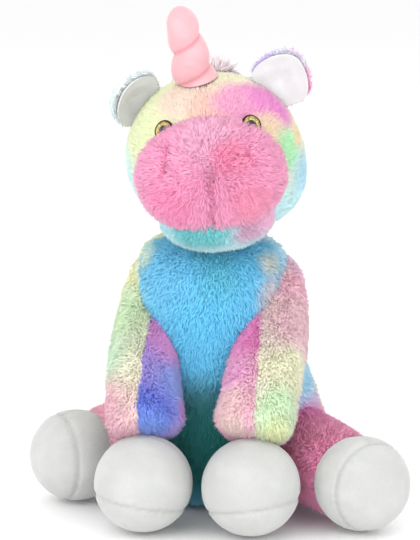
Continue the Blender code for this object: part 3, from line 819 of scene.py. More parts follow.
def pinched(skin, distance, depth, width, mark=1.0):
    """Pulls the skin in by depth along a seam, and marks it there as a crease, where the materials
    paint shade. distance is from the seam to each point, in the same unit as width."""
    near = np.exp(-((distance / width) ** 2))
    skin.points -= skin.normals * (depth * near)[:, None]
    skin.crease = np.maximum(skin.crease, near * mark)
    skin.update()


# The stuffed forms

shapes = {
    "body": (body_form(), VOXEL, SHRINK),
    "head": (placed(head_form(), HEAD), VOXEL, 1.2 * MM),
    "muzzle": (placed(muzzle_form(), HEAD), FINE_VOXEL, 2.6 * MM),
    "jaw": (placed(ball(JAW_SIZE, JAW_CENTRE), HEAD), FINE_VOXEL, 2.2 * MM),
}
for side in SIDES:
    front_hoof = ball(FRONT_HOOF_SIZE, mirrored(FRONT_HOOF, side))
    hind_hoof = ball(HIND_HOOF_SIZE, hind_hoof_centre(side), axis=leg_way(side))
    shapes[f"arm_{side}"] = arm_form(side), VOXEL, SHRINK
    shapes[f"leg_{side}"] = leg_form(side), VOXEL, SHRINK
    shapes[f"front_hoof_{side}"] = front_hoof, FINE_VOXEL, VELOUR_SHRINK
    shapes[f"hind_hoof_{side}"] = hind_hoof, FINE_VOXEL, VELOUR_SHRINK
forms = {name: remeshed(name, *shape) for name, shape in shapes.items()}
stuffed(list(forms.values()))
skins = {name: Skin(o.data) for name, o in forms.items()}
for o in forms.values():
    bpy.data.objects.remove(o)


# Body

SEAM_DEPTH, PANEL_SEAM = 0.9 * MM, 2.2 * MM

# Spots of dye, and painted shade: the first spot, darker teal under the chin, and the last two, dark
# teal low between the front legs, are painted shade
BODY_SPOTS_AND_SHADE = (
    (0, -52, 152, 26, (78, 172, 200)), (44, -30, 156, 16, (236, 216, 186)),
    (46, -38, 132, 17, (240, 200, 196)), (46, -44, 108, 14, (238, 184, 200)),
    (-46, -26, 156, 16, (230, 230, 176)), (-48, -36, 132, 13, (206, 234, 190)),
    (-22, -45, 140, 24, (98, 190, 232)), (0, -55, 100, 40, (84, 184, 226)),
    (0, -54, 66, 26, (52, 118, 134)), (0, -50, 40, 40, (14, 98, 96)),
)
BACK_BASES = {"left": (226, 238, 190), "right": (168, 220, 244)}
BACK_SPOTS = {
    "left": (
        (-60, 10, 100, 40, (214, 236, 176)), (-40, 40, 130, 32, (250, 176, 206)),
        (-20, 68, 90, 36, (200, 150, 220)), (-60, 40, 50, 36, (120, 200, 236)),
        (-30, 66, 30, 34, (240, 232, 170)), (-66, -10, 40, 34, (250, 150, 190)),
    ),
    "right": (
        (60, 0, 96, 46, (150, 214, 244)), (40, 40, 140, 30, (236, 150, 206)),
        (22, 66, 100, 34, (186, 232, 190)), (58, 44, 56, 38, (240, 214, 160)),
        (26, 68, 36, 34, (170, 150, 226)), (66, -6, 36, 32, (226, 110, 180)),
    ),
}
skin = skins["body"]
edge = np.maximum(
    np.abs(np.abs(skin.points[:, 0]) - BELLY_HALF_WIDTH * MM),
    np.maximum(skin.points[:, 1] - SIDE_SEAM_Y * MM, 0),
)
pinched(skin, edge, SEAM_DEPTH, PANEL_SEAM, 0.5)
back_seam = np.abs(skin.points[:, 0]) + np.maximum(-skin.points[:, 1], 0)
pinched(skin, back_seam, SEAM_DEPTH, PANEL_SEAM, 0.5)
middles = skin.centres()
in_seat = middles[:, 2] < 6 * MM
in_belly = (np.abs(middles[:, 0]) < BELLY_HALF_WIDTH * MM) & (middles[:, 1] < SIDE_SEAM_Y * MM)
in_belly &= ~in_seat
plush(
    "belly_plush", "torso", skin.part(in_belly), ((92, 188, 230), BODY_SPOTS_AND_SHADE), "sky_plush",
    ("belly_panel", "torso_stuffing", "pellet_pouch"), 0.85,
    count=12000, length=5.4, width=0.95, comb=(0, -0.25, -1), seed=11, lean=0.6,
)
for side, sign in SIDES.items():
    half = (middles[:, 0] * sign > 0) & ~in_belly & ~in_seat
    plush(
        f"back_plush_{side}", "torso", skin.part(half), (BACK_BASES[side], BACK_SPOTS[side]),
        "tie_dye_plush", (f"back_panel_{side}",), 0.85,
        count=12000, length=5.4, width=1.15, comb=(0, 0.1, -1), seed=12 + sign, lean=0.55,
    )
plush(
    "seat_plush", "torso", skin.part(in_seat), ((110, 190, 220), ()), "sky_plush",
    ("seat_base",), 0.85,
    count=3000, length=2.0, width=1.2, comb=(0, 1, 0), seed=15, lean=0.9,
)


# Neck: a short furred ball that fills the space between body and head as the head turns

NECK_SPOTS = (
    (36, -8, 172, 26, (236, 190, 216)), (-30, -2, 172, 26, (214, 236, 190)),
    (4, 26, 172, 26, (214, 200, 236)),
)
neck_form = remeshed("neck_form", ball((NECK_RADIUS + 1 * MM,) * 3, NECK), FINE_VOXEL, 0)
neck_form.modifiers.new("fine", "SUBSURF").levels = 1
skin = Skin(taken(neck_form))
bpy.data.objects.remove(neck_form)
plush(
    "neck_plush", "neck", skin, ((96, 186, 218), NECK_SPOTS), "sky_plush",
    ("neck_panel", "neck_stuffing"), 0.8,
    count=3500, length=4.6, width=1.0, comb=(0, 0, -1), seed=17,
)


# Head


def in_head(points):
    """The points in the head's own frame, whose origin is the neck joint."""
    return (points - np.array(NECK)) @ np.array(HEAD.to_3x3())


def head_point(x, y, z):
    """The place this many mm from the head's middle along the world's axes, in mm."""
    centre = (HEAD @ HEAD_CENTRE) / MM
    return centre.x + x, centre.y + y, centre.z + z


def head_spots(rows):
    """Spots, of dye and on the jaw also of painted shade, whose places are given from the head's
    middle.
    """
    return tuple((*head_point(x, y, z), radius, rgb) for x, y, z, radius, rgb in rows)


HEAD_SPOTS = head_spots((
    (-40, -20, 20, 40, (234, 242, 190)), (-45, -10, -20, 26, (196, 236, 236)),
    (-14, -30, 38, 20, (252, 226, 206)), (4, -38, 30, 18, (252, 206, 190)),
    (22, -28, 36, 20, (240, 158, 198)), (36, -14, 34, 18, (240, 132, 206)),
    (36, -28, 18, 13, (242, 214, 182)), (43, -18, 8, 15, (172, 234, 178)),
    (48, -6, 14, 10, (222, 200, 156)), (50, 0, -12, 22, (176, 226, 246)),
    (40, -14, -30, 20, (192, 236, 240)),
))
HEAD_BACK_SPOTS = head_spots((
    (0, 10, 46, 26, (246, 196, 216)), (-30, 20, 30, 28, (186, 232, 190)),
    (-40, 16, -10, 28, (150, 214, 244)), (34, 20, 26, 26, (240, 150, 206)),
    (42, 12, -12, 26, (176, 226, 246)), (0, 44, 0, 30, (200, 160, 226)),
    (-14, 36, -30, 26, (244, 226, 170)), (24, 34, -26, 24, (250, 176, 196)),
))


def on_head(out):
    """The place on the head's ball in this direction from its middle, in the head's own frame."""
    return HEAD_CENTRE + out / math.sqrt(sum((out[i] / HEAD_SIZE[i]) ** 2 for i in range(3)))


def eye_place(sign):
    """The matrix of an eye's seat, with Z out of the head."""
    spread = EYE_SPREAD * sign
    out = Vector((math.sin(spread), -math.cos(spread), 0)) * math.cos(EYE_RISE)
    out.z = math.sin(EYE_RISE)
    turn = Vector((0, 0, 1)).rotation_difference(out).to_matrix().to_4x4()
    return HEAD @ Matrix.Translation(on_head(out)) @ turn


EYES = {side: eye_place(sign) for side, sign in SIDES.items()}


EYE_MARGIN, EYE_CLEARING = 0.4 * MM, 8 * MM
EYE_DENT, EYE_DENT_REACH = 1.6 * MM, 9 * MM


def clear_of_eyes(points):
    """Shorter pile round each eye, and none on it."""
    share = np.ones(len(points))
    for place in EYES.values():
        away = np.linalg.norm(points - np.array(place.translation), axis=1)
        share *= np.clip((away - EYE_RADIUS - EYE_MARGIN) / EYE_CLEARING, 0, 1) ** 0.5
    return share


skin = skins["head"]
for place in EYES.values():
    away = np.linalg.norm(skin.points - np.array(place.translation), axis=1)
    skin.points -= skin.normals * (EYE_DENT * np.exp(-((away / EYE_DENT_REACH) ** 2)))[:, None]
skin.update()
local = in_head(skin.points)
seam_y = HEAD_CENTRE.y + 12 * MM
front_seam = np.abs(local[:, 0]) + np.maximum(local[:, 1] - seam_y, 0)
for distance in (front_seam, np.abs(local[:, 1] - seam_y)):
    pinched(skin, distance, 0.7 * MM, 1.8 * MM, 0.4)
middles = skin.centres()
middles_local = in_head(middles)
face = np.array(HEAD @ MUZZLE_CENTRE)
zones = {
    "left": (middles_local[:, 0] < 0) & (middles_local[:, 1] < seam_y),
    "right": (middles_local[:, 0] >= 0) & (middles_local[:, 1] < seam_y),
    "back": middles_local[:, 1] >= seam_y,
}
HEAD_PILE = pile_material("head_pile", (242, 240, 200), HEAD_SPOTS)
HEAD_BACK_PILE = pile_material("head_back_pile", (214, 226, 240), HEAD_BACK_SPOTS)
for seed, (zone, mask) in enumerate(zones.items(), start=21):
    at_back = zone == "back"
    made = pile(
        f"head_plush_{zone}", skin.part(mask), count=8000 if at_back else 6000, length=3.2,
        width=0.8, comb=away_from(face), seed=seed, lean=0.7, trim=clear_of_eyes, messy=0.25,
        clump=0.2, fine=4.5, soft=0.82,
    )
    replaced = [f"head_panel_{zone}", *(["head_stuffing"] if at_back else [])]
    finish(
        made, "head", HEAD_BACK_PILE if at_back else HEAD_PILE, replaced
    )


# Muzzle with its nostril and lip creases

skin = skins["muzzle"]
local = (in_head(skin.points) - np.array(MUZZLE_CENTRE)) / MM


def to_line(points, a, b):
    """Distance in the front view from each point to the line between a and b."""
    a, b = np.array(a, float), np.array(b, float)
    along = b - a
    share = np.clip(((points - a) @ along) / (along @ along), 0, 1)
    return np.linalg.norm(points - (a + share[:, None] * along), axis=1)


# Left nostril, right nostril and lip: ends across and up from the muzzle's middle, depth and
# width, all in mm
CREASES = (
    ((-21, 20), (-24, 5), 2.6, 1.9),
    ((20, 17), (23, 10), 1.6, 1.6),
    ((1.0, 8), (0.5, -25), 3.0, 1.9),
)
in_front = local[:, 1] < 0
flat_view = local[:, [0, 2]]
for a, b, depth, width in CREASES:
    distance = np.where(in_front, to_line(flat_view, a, b), np.inf)
    pinched(skin, distance, depth * MM, width, 0.95)
# Places in mm from the muzzle's middle
MUZZLE_SPOTS = tuple((*(HEAD @ (MUZZLE_CENTRE + Vector(row[:3]) * MM) / MM), *row[3:]) for row in (
    (0, -20, 24, 22, (255, 180, 214)), (16, -26, 14, 14, (255, 144, 184)),
    (-24, -20, -14, 16, (255, 140, 188)), (22, -22, -14, 14, (255, 148, 184)),
))


def muzzle_comb(points):
    """Combed down, and away from the middle at both sides."""
    across = (points[:, 0] - face[0]) / (16 * MM)
    rise = (points[:, 2] - face[2]) / (30 * MM)
    back = np.full(len(points), 0.45)
    return np.stack([np.tanh(across) * 0.75, back, rise * 0.5 - 0.45], axis=1)


made = pile(
    "muzzle_plush", skin, count=11500, length=5.0, width=0.87, comb=muzzle_comb, seed=31,
    clump=0.5, fine=2.4, soft=0.75,
)
# The muzzle's nostril and lip creases get painted shade of a deep pink
MUZZLE_PILE = pile_material(
    "muzzle_pile", (255, 158, 200), MUZZLE_SPOTS, root_shade=0.84, crease_shade_colour=(226, 84, 140)
)
finish(made, "head", MUZZLE_PILE, ("muzzle_panel", "muzzle_stuffing"))

# Spots of dye, and painted shade: the second spot, dark teal at the jaw's front under the muzzle, is
# painted shade
JAW_SPOTS_AND_SHADE = head_spots((
    (0, -36, -50, 22, (190, 228, 232)), (-4, -52, -34, 20, (82, 172, 176)),
    (26, -46, -32, 15, (184, 140, 168)), (34, -34, -26, 15, (222, 160, 192)),
    (-28, -40, -34, 13, (176, 226, 238)),
))
plush(
    "jaw_plush", "head", skins["jaw"], ((150, 214, 220), JAW_SPOTS_AND_SHADE), "teal_plush",
    ("lower_jaw",), 0.9,
    count=7000, length=4.2, width=0.9, comb=away_from(face), seed=33,
)


# Arms and legs

ARM_SPOTS = {
    ("left", "outer"): (
        (-54, -2, 142, 28, (238, 238, 182)), (-54, -30, 112, 30, (212, 240, 194)),
        (-54, -54, 92, 22, (210, 240, 204)), (-54, -74, 60, 32, (255, 192, 210)),
    ),
    ("left", "inner"): (
        (-24, -50, 110, 18, (196, 130, 196)), (-20, -66, 84, 14, (120, 140, 214)),
        (-28, -90, 76, 20, (84, 102, 196)), (-26, -96, 60, 20, (92, 124, 206)),
        (-10, -68, 74, 10, (176, 112, 190)),
    ),
    ("right", "outer"): (
        (50, 0, 146, 20, (236, 196, 226)), (48, -16, 128, 20, (255, 190, 210)),
        (52, -34, 112, 22, (250, 204, 214)), (50, -62, 92, 20, (232, 232, 196)),
        (50, -84, 74, 20, (206, 234, 190)), (50, -92, 54, 20, (234, 240, 176)),
    ),
    ("right", "inner"): (
        (26, -50, 112, 18, (232, 124, 190)), (20, -66, 92, 16, (242, 162, 212)),
        (20, -84, 74, 16, (252, 206, 210)), (22, -94, 56, 18, (244, 226, 200)),
    ),
}
ARM_BASES = {
    ("left", "outer"): (236, 232, 206),
    ("left", "inner"): (150, 130, 205),
    ("right", "outer"): (240, 222, 212),
    ("right", "inner"): (246, 184, 208),
}
LEG_SPOTS = {
    "left": (
        (-66, -22, 58, 24, (252, 160, 186)), (-60, -30, 30, 30, (240, 172, 196)),
        (-44, 10, 50, 24, (196, 226, 214)),
    ),
    "right": (
        (60, -14, 60, 24, (236, 110, 180)), (74, -42, 40, 26, (255, 150, 190)),
        (66, -30, 12, 26, (228, 106, 170)), (44, 10, 50, 22, (150, 214, 244)),
    ),
}
LEG_BASES = {"left": (250, 168, 192), "right": (248, 138, 186)}
LIMB_SEEDS = {"left": 41, "right": 44}
for side, sign in SIDES.items():
    skin = skins[f"arm_{side}"]
    seam = np.abs(skin.points[:, 0] - ARM_SEAM_X * sign)
    pinched(skin, seam, 1.0 * MM, 2.0 * MM, 0.45)
    outer = (skin.centres()[:, 0] - ARM_SEAM_X * sign) * sign > 0
    seed = LIMB_SEEDS[side]
    for panel, mask, inside in (("outer", outer, [f"arm_stuffing_{side}"]), ("inner", ~outer, [])):
        plush(
            f"arm_plush_{panel}_{side}", f"arm_{side}", skin.part(mask),
            (ARM_BASES[side, panel], ARM_SPOTS[side, panel]), "tie_dye_plush",
            [f"arm_{panel}_panel_{side}", *inside], 0.85,
            count=8000, length=4.8, width=0.95, comb=(0, -0.5, -1), seed=seed, lean=0.55,
        )
        seed += 1
    plush(
        f"leg_plush_{side}", f"leg_{side}", skins[f"leg_{side}"],
        (LEG_BASES[side], LEG_SPOTS[side]), "pink_plush",
        (f"leg_panel_{side}", f"leg_stuffing_{side}"), 0.85,
        count=11000, length=4.8, width=1.05, comb=leg_way(side) * 0.8 + Vector((0, 0, -0.4)),
        seed=seed, lean=0.55,
    )


# Hooves: white velour with a sewn-in sole

VELOUR = velour_material("hoof_velour", (191, 192, 190))
PUCKERS, PUCKER_DEPTH, PUCKER_REACH = 34, 0.22 * MM, 5 * MM


def hoof(name, skin, centre, across, facing, depth, body, replaced):
    """A velour ball. A seam with puckers rings its sole, depth beyond the centre along facing, and
    another seam runs from it over the top, where across is level with the centre."""
    facing = np.array(Vector(facing).normalized())
    rel = skin.points - np.array(centre)
    along = rel @ facing - depth
    tangent = np.cross(facing, (0.0, 0.0, 1.0))
    tangent /= np.linalg.norm(tangent)
    around = np.arctan2(rel @ np.cross(facing, tangent), rel @ tangent)
    puckers = np.cos(around * PUCKERS) * np.exp(-((along / PUCKER_REACH) ** 2))
    skin.points += skin.normals * (PUCKER_DEPTH * puckers)[:, None]
    skin.update()
    pinched(skin, np.abs(along), 1.1 * MM, 1.1 * MM, 0.9)
    side_seam = np.abs(rel @ np.array(across)) + np.maximum(along, 0)
    pinched(skin, side_seam, SEAM_DEPTH, 1.0 * MM, 0.8)
    skin.points[:, 2] = np.maximum(skin.points[:, 2], FLOOR_CLEARANCE)
    finish(smooth_piece(name, skin), body, VELOUR, replaced)


def hoof_nodes(which, side):
    """The frame's nodes that one hoof's piece stands for."""
    return [f"{which}_hoof_{layer}_{side}" for layer in ("cover", "sole", "stuffing")]


for side, sign in SIDES.items():
    centre = mirrored(FRONT_HOOF, side)
    hoof(
        f"front_hoof_velour_{side}", skins[f"front_hoof_{side}"], centre, (0, 1, 0),
        (0.16 * sign, -0.12, -1), 10 * MM, f"arm_{side}", hoof_nodes("front", side),
    )
    hoof(
        f"hind_hoof_velour_{side}", skins[f"hind_hoof_{side}"], hind_hoof_centre(side),
        leg_way(side).cross(Vector((0, 0, 1))), leg_way(side), 9 * MM, f"leg_{side}",
        hoof_nodes("hind", side),
    )


# Horn: padded satin wound by a sewn spiral

HORN = HEAD @ Matrix.Translation(HORN_ROOT) @ Euler((HORN_PITCH, HORN_LEAN, 0)).to_matrix().to_4x4()


HORN_TAPER = 0.40
HORN_TIP = 0.24 * HORN_LENGTH
HORN_SEGMENTS, HORN_RINGS = 96, 110
GROOVE_WIDTH, GROOVE_DEPTH = 1.3 * MM, 0.9 * MM
PINCH_WIDTH, PINCH_SHARE = 4.6 * MM, 0.17


def horn_surface():
    """Egg-shaped bulges between the turns of one spiral groove, which fades out near the tip."""
    rings, marks = [], []
    for k in range(1, HORN_RINGS + 1):
        t = k / HORN_RINGS
        cap = max(0.0, (HORN_LENGTH * t - (HORN_LENGTH - HORN_TIP)) / HORN_TIP)
        radius = HORN_RADIUS * (1 - HORN_TAPER * t) * math.sqrt(max(0.0, 1 - cap**2))
        fade = 1 - min(1, max(0, (t - 0.62) / 0.2))
        row = []
        for i in range(HORN_SEGMENTS):
            turn = 2 * math.pi * i / HORN_SEGMENTS
            phase = (t - 0.5) / HORN_PITCH_SHARE - (turn + 0.5 * math.pi) / (2 * math.pi)
            away = abs(phase - round(phase)) * HORN_PITCH_SHARE * HORN_LENGTH
            groove = math.exp(-((away / GROOVE_WIDTH) ** 2)) * fade
            pinch = math.exp(-((away / PINCH_WIDTH) ** 2)) * fade
            wide = max(0, radius * (1.04 - PINCH_SHARE * pinch) - GROOVE_DEPTH * groove)
            row.append(HORN @ Vector((wide * math.cos(turn), wide * math.sin(turn), HORN_LENGTH * t)))
            marks.append(groove)
        rings.append(row)
    start, end = Vector((0, 0, -2 * MM)), Vector((0, 0, HORN_LENGTH))
    mesh = mesh_of("horn_form", skin_rings(rings[:-1], HORN @ start, HORN @ end))
    marks = marks[: len(mesh.vertices) - 2] + [0, 0]
    return Skin(mesh, np.array(marks))


finish(
    smooth_piece("horn_satin", horn_surface()), "horn",
    satin_material("horn_satin", (226, 168, 174)),
    ("horn_cover", "horn_stuffing", "horn_thread"),
)


# Ears


EAR_GAP, EAR_PUFF = 0.2 * MM, 1.2 * MM
EAR_ROLL = 4 * MM
# Half width at the ear's ends and how much more at its middle, as shares of EAR_WIDTH / 2
EAR_END, EAR_MIDDLE = 0.66, 0.38


def ear_root(side):
    """The matrix of an ear's seam, with Z up the ear and Y behind it."""
    out = Vector((math.sin(EAR_ANGLE) * SIDES[side], 0.12, math.cos(EAR_ANGLE)))
    turn = Euler((0, EAR_LEAN[side] * SIDES[side], 0)).to_matrix().to_4x4()
    return HEAD @ Matrix.Translation(on_head(out)) @ turn


def ear_skin(side, front, back, puff=0.0):
    """A rounded leaf, bent forwards and cupped, from front to back of its middle surface. puff is
    how unevenly it is filled."""
    curl = EAR_CURL[side]
    bm = ball((1, 1, 1), segments=56, rings=36, axis=(0, 1, 0))
    bend = EAR_LENGTH / curl
    for vert in bm.verts:
        across, height = vert.co.x, (vert.co.z + 1) / 2
        turn = curl * height
        width = EAR_WIDTH / 2 * (EAR_END + EAR_MIDDLE * math.sin(math.pi * (height * 0.8 + 0.1)))
        thick = front + (back - front) * (vert.co.y + 1) / 2 - EAR_ROLL * across**2
        thick += puff * noise.noise(Vector((across * 2, height * 3, 0)))
        thick -= EAR_CUP * (across**2 - 0.35) * math.sin(math.pi * min(1, height * 0.9 + 0.1))
        vert.co.x = across * width
        vert.co.y = thick * math.cos(turn) - bend * (1 - math.cos(turn))
        vert.co.z = (thick + bend) * math.sin(turn) - EAR_SINK
    return Skin(mesh_of("ear", placed(bm, ear_root(side))))


EAR_DYES = {
    "left": ((226, 240, 240), ()),
    "right": ((226, 200, 230), (
        (28, -20, 272, 16, (196, 176, 230)), (44, -20, 268, 12, (190, 222, 214)),
        (56, -20, 252, 20, (244, 164, 206)),
    )),
}
EAR_LINING = velour_material("ear_velour", (220, 222, 222))
for side, sign in SIDES.items():
    made = smooth_piece(f"ear_lining_velour_{side}", ear_skin(side, -EAR_PAD, -EAR_GAP, EAR_PUFF))
    finish(made, f"ear_{side}", EAR_LINING, (f"ear_lining_{side}",))
    plush(
        f"ear_back_plush_{side}", f"ear_{side}", ear_skin(side, EAR_GAP, EAR_PAD),
        EAR_DYES[side], "tie_dye_plush", (f"ear_back_{side}",), 0.5,
        count=4000, length=3.2, width=0.9, comb=ear_root(side).to_3x3() @ Vector((0, 1, 0.3)),
        seed=63 + sign, lean=0.8,
    )


# Eyes


EYE_SEGMENTS = 64


def turned(place, rows):
    """A turned skin through rows of radius and height in mm, closed at both ends."""
    rings = []
    for radius, height in rows[1:-1]:
        rings.append([
            place @ (Vector((radius * math.cos(t), radius * math.sin(t), height)) * MM)
            for t in (2 * math.pi * i / EYE_SEGMENTS for i in range(EYE_SEGMENTS))
        ])
    start, end = (place @ Vector((0, 0, row[1] * MM)) for row in (rows[0], rows[-1]))
    return Skin(mesh_of("turned", skin_rings(rings, start, end)))


# Rows of radius and height from the eye's seat, in mm
R = EYE_RADIUS / MM
RIM_ROWS = (
    (0, 1.6), (R - 1.4, 1.6), (R - 1.1, 2.5), (R - 0.6, 3.0), (R - 0.1, 2.8), (R + 0.2, 2.1),
    (R + 0.1, 1.0), (R - 0.6, 0.4), (1.5, 0.2), (1.5, -13), (0, -13),
)
IRIS_ROWS = (
    (0, 2.1), (1.2, 2.1), (2.2, 2.08), (3.2, 2.02), (4.2, 1.95), (5.0, 1.85), (5.0, 1.7), (0, 1.7),
)
DOME_RADIUS, DOME_LOW, DOME_RISE, DOME_STEPS = 5.1, 2.3, 2.7, 11
DOME_TURNS = [math.pi / 2 * (1 - k / DOME_STEPS) for k in range(1, DOME_STEPS + 1)]
DOME_ROWS = (
    (0, DOME_LOW + DOME_RISE),
    *((DOME_RADIUS * math.cos(t), DOME_LOW + DOME_RISE * math.sin(t)) for t in DOME_TURNS),
    (DOME_RADIUS, DOME_LOW - 0.1),
    (0, DOME_LOW - 0.1),
)
RIM = plastic_material("eye_rim", (16, 13, 12), 0.22)
GLITTER = glitter_material("eye_glitter")
LENS = lens_material("eye_lens")
for side, place in EYES.items():
    made = smooth_piece(f"eye_rim_{side}", turned(place, RIM_ROWS))
    finish(made, "head", RIM, (f"eye_stem_{side}",))
    skin = turned(place, IRIS_ROWS)
    inward = np.array(place.to_3x3() @ Vector((0, 0, 1)))
    rel = skin.points - np.array(place.translation)
    skin.crease = np.linalg.norm(rel - np.outer(rel @ inward, inward), axis=1) / EYE_RADIUS
    made = smooth_piece(f"eye_iris_{side}", skin)
    finish(made, "head", GLITTER, (f"eye_glitter_{side}",))
    made = smooth_piece(f"eye_dome_{side}", turned(place, DOME_ROWS))
    finish(made, "head", LENS, (f"eye_lens_{side}",))
    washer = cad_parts[f"eye_washer_{side}"]
    washer.data.materials.clear()
    washer.data.materials.append(plastic_material(f"washer_{side}", (226, 226, 224), 0.4))


# Mane and tail: long pile


LOCK_UNEVEN, LOCK_STRAY, LOCK_CLUMP = 0.3, 0.22, 0.5
ROOT_SPREAD, ROOT_STRAY, CLUMP_SIZE = 1.2 * MM, 0.25, 22 * MM
# How much each step of a lock turns towards its trail, towards its fall and at random
TRAIL_PULL, FALL_PULL, STEP_STRAY = 0.30, 0.16, 0.15


def locks(name, roots, count, length, width, seed, fall, rings=6):
    """Long curved locks. roots has points, normals and the ways that the locks trail, and each lock
    is a bent, tapered solid of several rings."""
    points, normals, ways = roots
    rng = np.random.default_rng(seed)
    pick = rng.integers(0, len(points), size=count)
    root = points[pick] + rng.normal(size=(count, 3)) * ROOT_SPREAD
    normal = unit(normals[pick] + rng.normal(size=(count, 3)) * ROOT_STRAY)
    clump = LOCK_CLUMP * wander(root, CLUMP_SIZE, seed + 1)
    way = unit(ways[pick] + rng.normal(size=(count, 3)) * LOCK_STRAY + clump)
    long = length * rng.uniform(1 - LOCK_UNEVEN, 1 + LOCK_UNEVEN, size=count)[:, None]
    wide = width * rng.uniform(1 - LOCK_UNEVEN, 1 + LOCK_UNEVEN, size=count)[:, None] / 2
    side = unit(np.cross(normal, way))
    tufts = np.empty((count, rings * 3 + 1, 3))
    place = root.copy()
    heading = unit(normal + way * 0.5)
    step = long / rings
    fall = np.array(fall, float)
    for k in range(rings):
        other = unit(np.cross(heading, side))
        thin = wide * (1 - 0.12 * k) * (0.8 + 0.5 * math.sin(math.pi * k / rings))
        for i in range(3):
            t = 2 * math.pi * i / 3
            tufts[:, 3 * k + i] = place + (side * math.cos(t) + other * math.sin(t)) * thin
        stray = STEP_STRAY * wander(place, 12 * MM, seed + 2 + k)
        heading = unit(heading + way * TRAIL_PULL + fall * FALL_PULL + stray)
        place = place + heading * step
    tufts[:, -1] = place
    faces = spike_faces(rings)
    each = rings * 3 + 1
    flat = tufts.reshape(-1, 3)
    flat[:, 2] = np.maximum(flat[:, 2], FLOOR_CLEARANCE)
    middle = np.repeat(tufts.mean(axis=1), each, axis=0)
    shade = unit(unit(flat - middle) * 0.25 + np.repeat(normal, each, axis=0) * 0.75)
    low, high = root.min(axis=0), root.max(axis=0)
    uv = MAP_MARGIN + (1 - 2 * MAP_MARGIN) * (root - low)[:, [0, 2]] / max(high - low)
    heights = np.repeat(np.minimum(1, 0.25 + np.arange(rings + 1) / rings), [3] * rings + [1])
    return piece_from(
        name, flat, repeated_faces(faces, each, count), shade, np.repeat(uv, faces.size, axis=0),
        np.repeat(root, each, axis=0), np.tile(heights, count), np.zeros(len(flat)),
    )


LONG_PILE = pile_material("long_pile", (255, 232, 238), (
    (0, 40, 300, 60, (255, 236, 240)), (0, 30, 200, 40, (255, 206, 222)),
), strands=420.0, root_shade=0.94)
ROOT_ROWS = 60
MANE_WIDTH, MANE_LIFT = 12 * MM, 3.5 * MM
TAIL_ROUND = 12

points, normals, ways = [], [], []
for i in range(ROOT_ROWS):
    share = i / (ROOT_ROWS - 1)
    turn = MANE_ARC[0] + (MANE_ARC[1] - MANE_ARC[0]) * share
    out = Vector((0, math.sin(turn), math.cos(turn)))
    along = Vector((0, math.cos(turn), -math.sin(turn)))
    swell = 0.45 + 0.55 * math.sin(math.pi * (share * 0.9 + 0.08))
    for across in (j / 5 for j in range(-5, 6)):
        lift = (1 - across**2) * MANE_LIFT * swell
        beside = Vector((across, 0, 0))
        points.append(HEAD @ (on_head(out) + out * lift + beside * MANE_WIDTH * swell))
        normals.append(HEAD.to_3x3() @ (out + beside * 0.8))
        ways.append(HEAD.to_3x3() @ (along + beside * 0.8))
roots = np.array(points), unit(np.array(normals)), unit(np.array(ways))
mane = locks("mane_pile", roots, 6000, 12 * MM, 1.0 * MM, 71, (0, 0, -0.5))
finish(mane, "head", LONG_PILE, ("mane",))

points, normals, ways = [], [], []
for i in range(ROOT_ROWS):
    t = i / (ROOT_ROWS - 1)
    bow = t * math.pi / 2.2
    middle = TAIL_ROOT + Vector((0, TAIL_REACH * math.sin(bow), -TAIL_DROP * t * t))
    slope = Vector((0, TAIL_REACH * math.cos(bow), -2 * TAIL_DROP * t)).normalized()
    radius = TAIL_RADIUS * (0.45 + 0.55 * math.sin(math.pi * (0.12 + 0.62 * t))) * 0.7
    up = slope.cross(Vector((1, 0, 0)))
    for turn in (2 * math.pi * j / TAIL_ROUND for j in range(TAIL_ROUND)):
        out = Vector((math.cos(turn), 0, 0)) + up * math.sin(turn)
        points.append(middle + out * radius)
        normals.append(out)
        ways.append(slope * 1.6)
roots = np.array(points), np.array(normals), np.array(ways)
tail = locks("tail_pile", roots, 4600, 15 * MM, 1.3 * MM, 81, (0, 0, -0.7))
finish(tail, "tail", LONG_PILE, ("tail",))


# Floor, light and camera


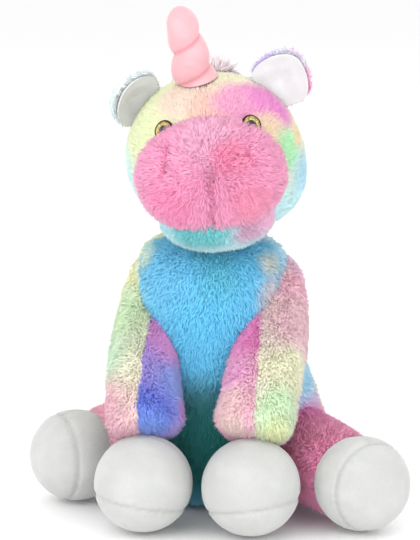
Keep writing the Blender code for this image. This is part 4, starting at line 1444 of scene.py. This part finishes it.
FLOOR_HALF, FLOOR_DROP = 6, 0.0002
corners = [(-1, -1), (1, -1), (1, 1), (-1, 1)]
floor_mesh = bpy.data.meshes.new("floor")
floor_mesh.from_pydata(
    [(x * FLOOR_HALF, y * FLOOR_HALF, -FLOOR_DROP) for x, y in corners], [], [(0, 1, 2, 3)]
)
floor = new_object("floor", floor_mesh)
pale = Graph("floor")
pale.shader.inputs["Base Color"].default_value = linear((250, 250, 250))
pale.shader.inputs["Roughness"].default_value = 0.7
floor.data.materials.append(pale.material)

world = bpy.data.worlds.new("studio")
SCENE.world = world
world.use_nodes = True
world.node_tree.nodes["Background"].inputs["Color"].default_value = (1, 1, 1, 1)
world.node_tree.nodes["Background"].inputs["Strength"].default_value = 1.0


# Name, place, height aimed at, height of its panel and power
LAMP_WIDTH = 1.6
LAMPS = (
    ("key", (-0.9, -1.6, 1.3), 0.15, 1.6, 17),
    ("fill", (1.4, -1.5, 0.7), 0.15, 1.6, 11),
    ("top", (0.1, 0.2, 2.0), 0.10, 1.6, 5),
    ("back", (0.5, 1.7, 1.0), 0.15, 1.6, 6),
    ("low", (-0.1, -1.7, 0.25), 0.22, 0.4, 5),
)
for name, place, aim, height, power in LAMPS:
    light = bpy.data.lights.new(name, "AREA")
    light.shape = "RECTANGLE"
    light.size, light.size_y = LAMP_WIDTH, height
    light.energy = power
    made = new_object(name, light)
    made.location = place
    way = Vector((0, 0, aim)) - Vector(place)
    made.rotation_euler = way.to_track_quat("-Z", "Y").to_euler()

CAMERA_TURN, CAMERA_RISE = math.radians(7), math.radians(11)
CAMERA_AWAY = 1.35
VIEW_HEIGHT = 0.3208
target = Vector((0.001, -0.03, 0.146))
away = Vector((
    math.sin(CAMERA_TURN) * math.cos(CAMERA_RISE),
    -math.cos(CAMERA_TURN) * math.cos(CAMERA_RISE),
    math.sin(CAMERA_RISE),
))
lens = bpy.data.cameras.new("camera")
lens.sensor_fit = "VERTICAL"
lens.lens = lens.sensor_height * CAMERA_AWAY / VIEW_HEIGHT
camera = new_object("camera", lens)
camera.location = target + away * CAMERA_AWAY
camera.rotation_euler = away.to_track_quat("Z", "Y").to_euler()
SCENE.camera = camera
SCENE.view_settings.view_transform = "Standard"
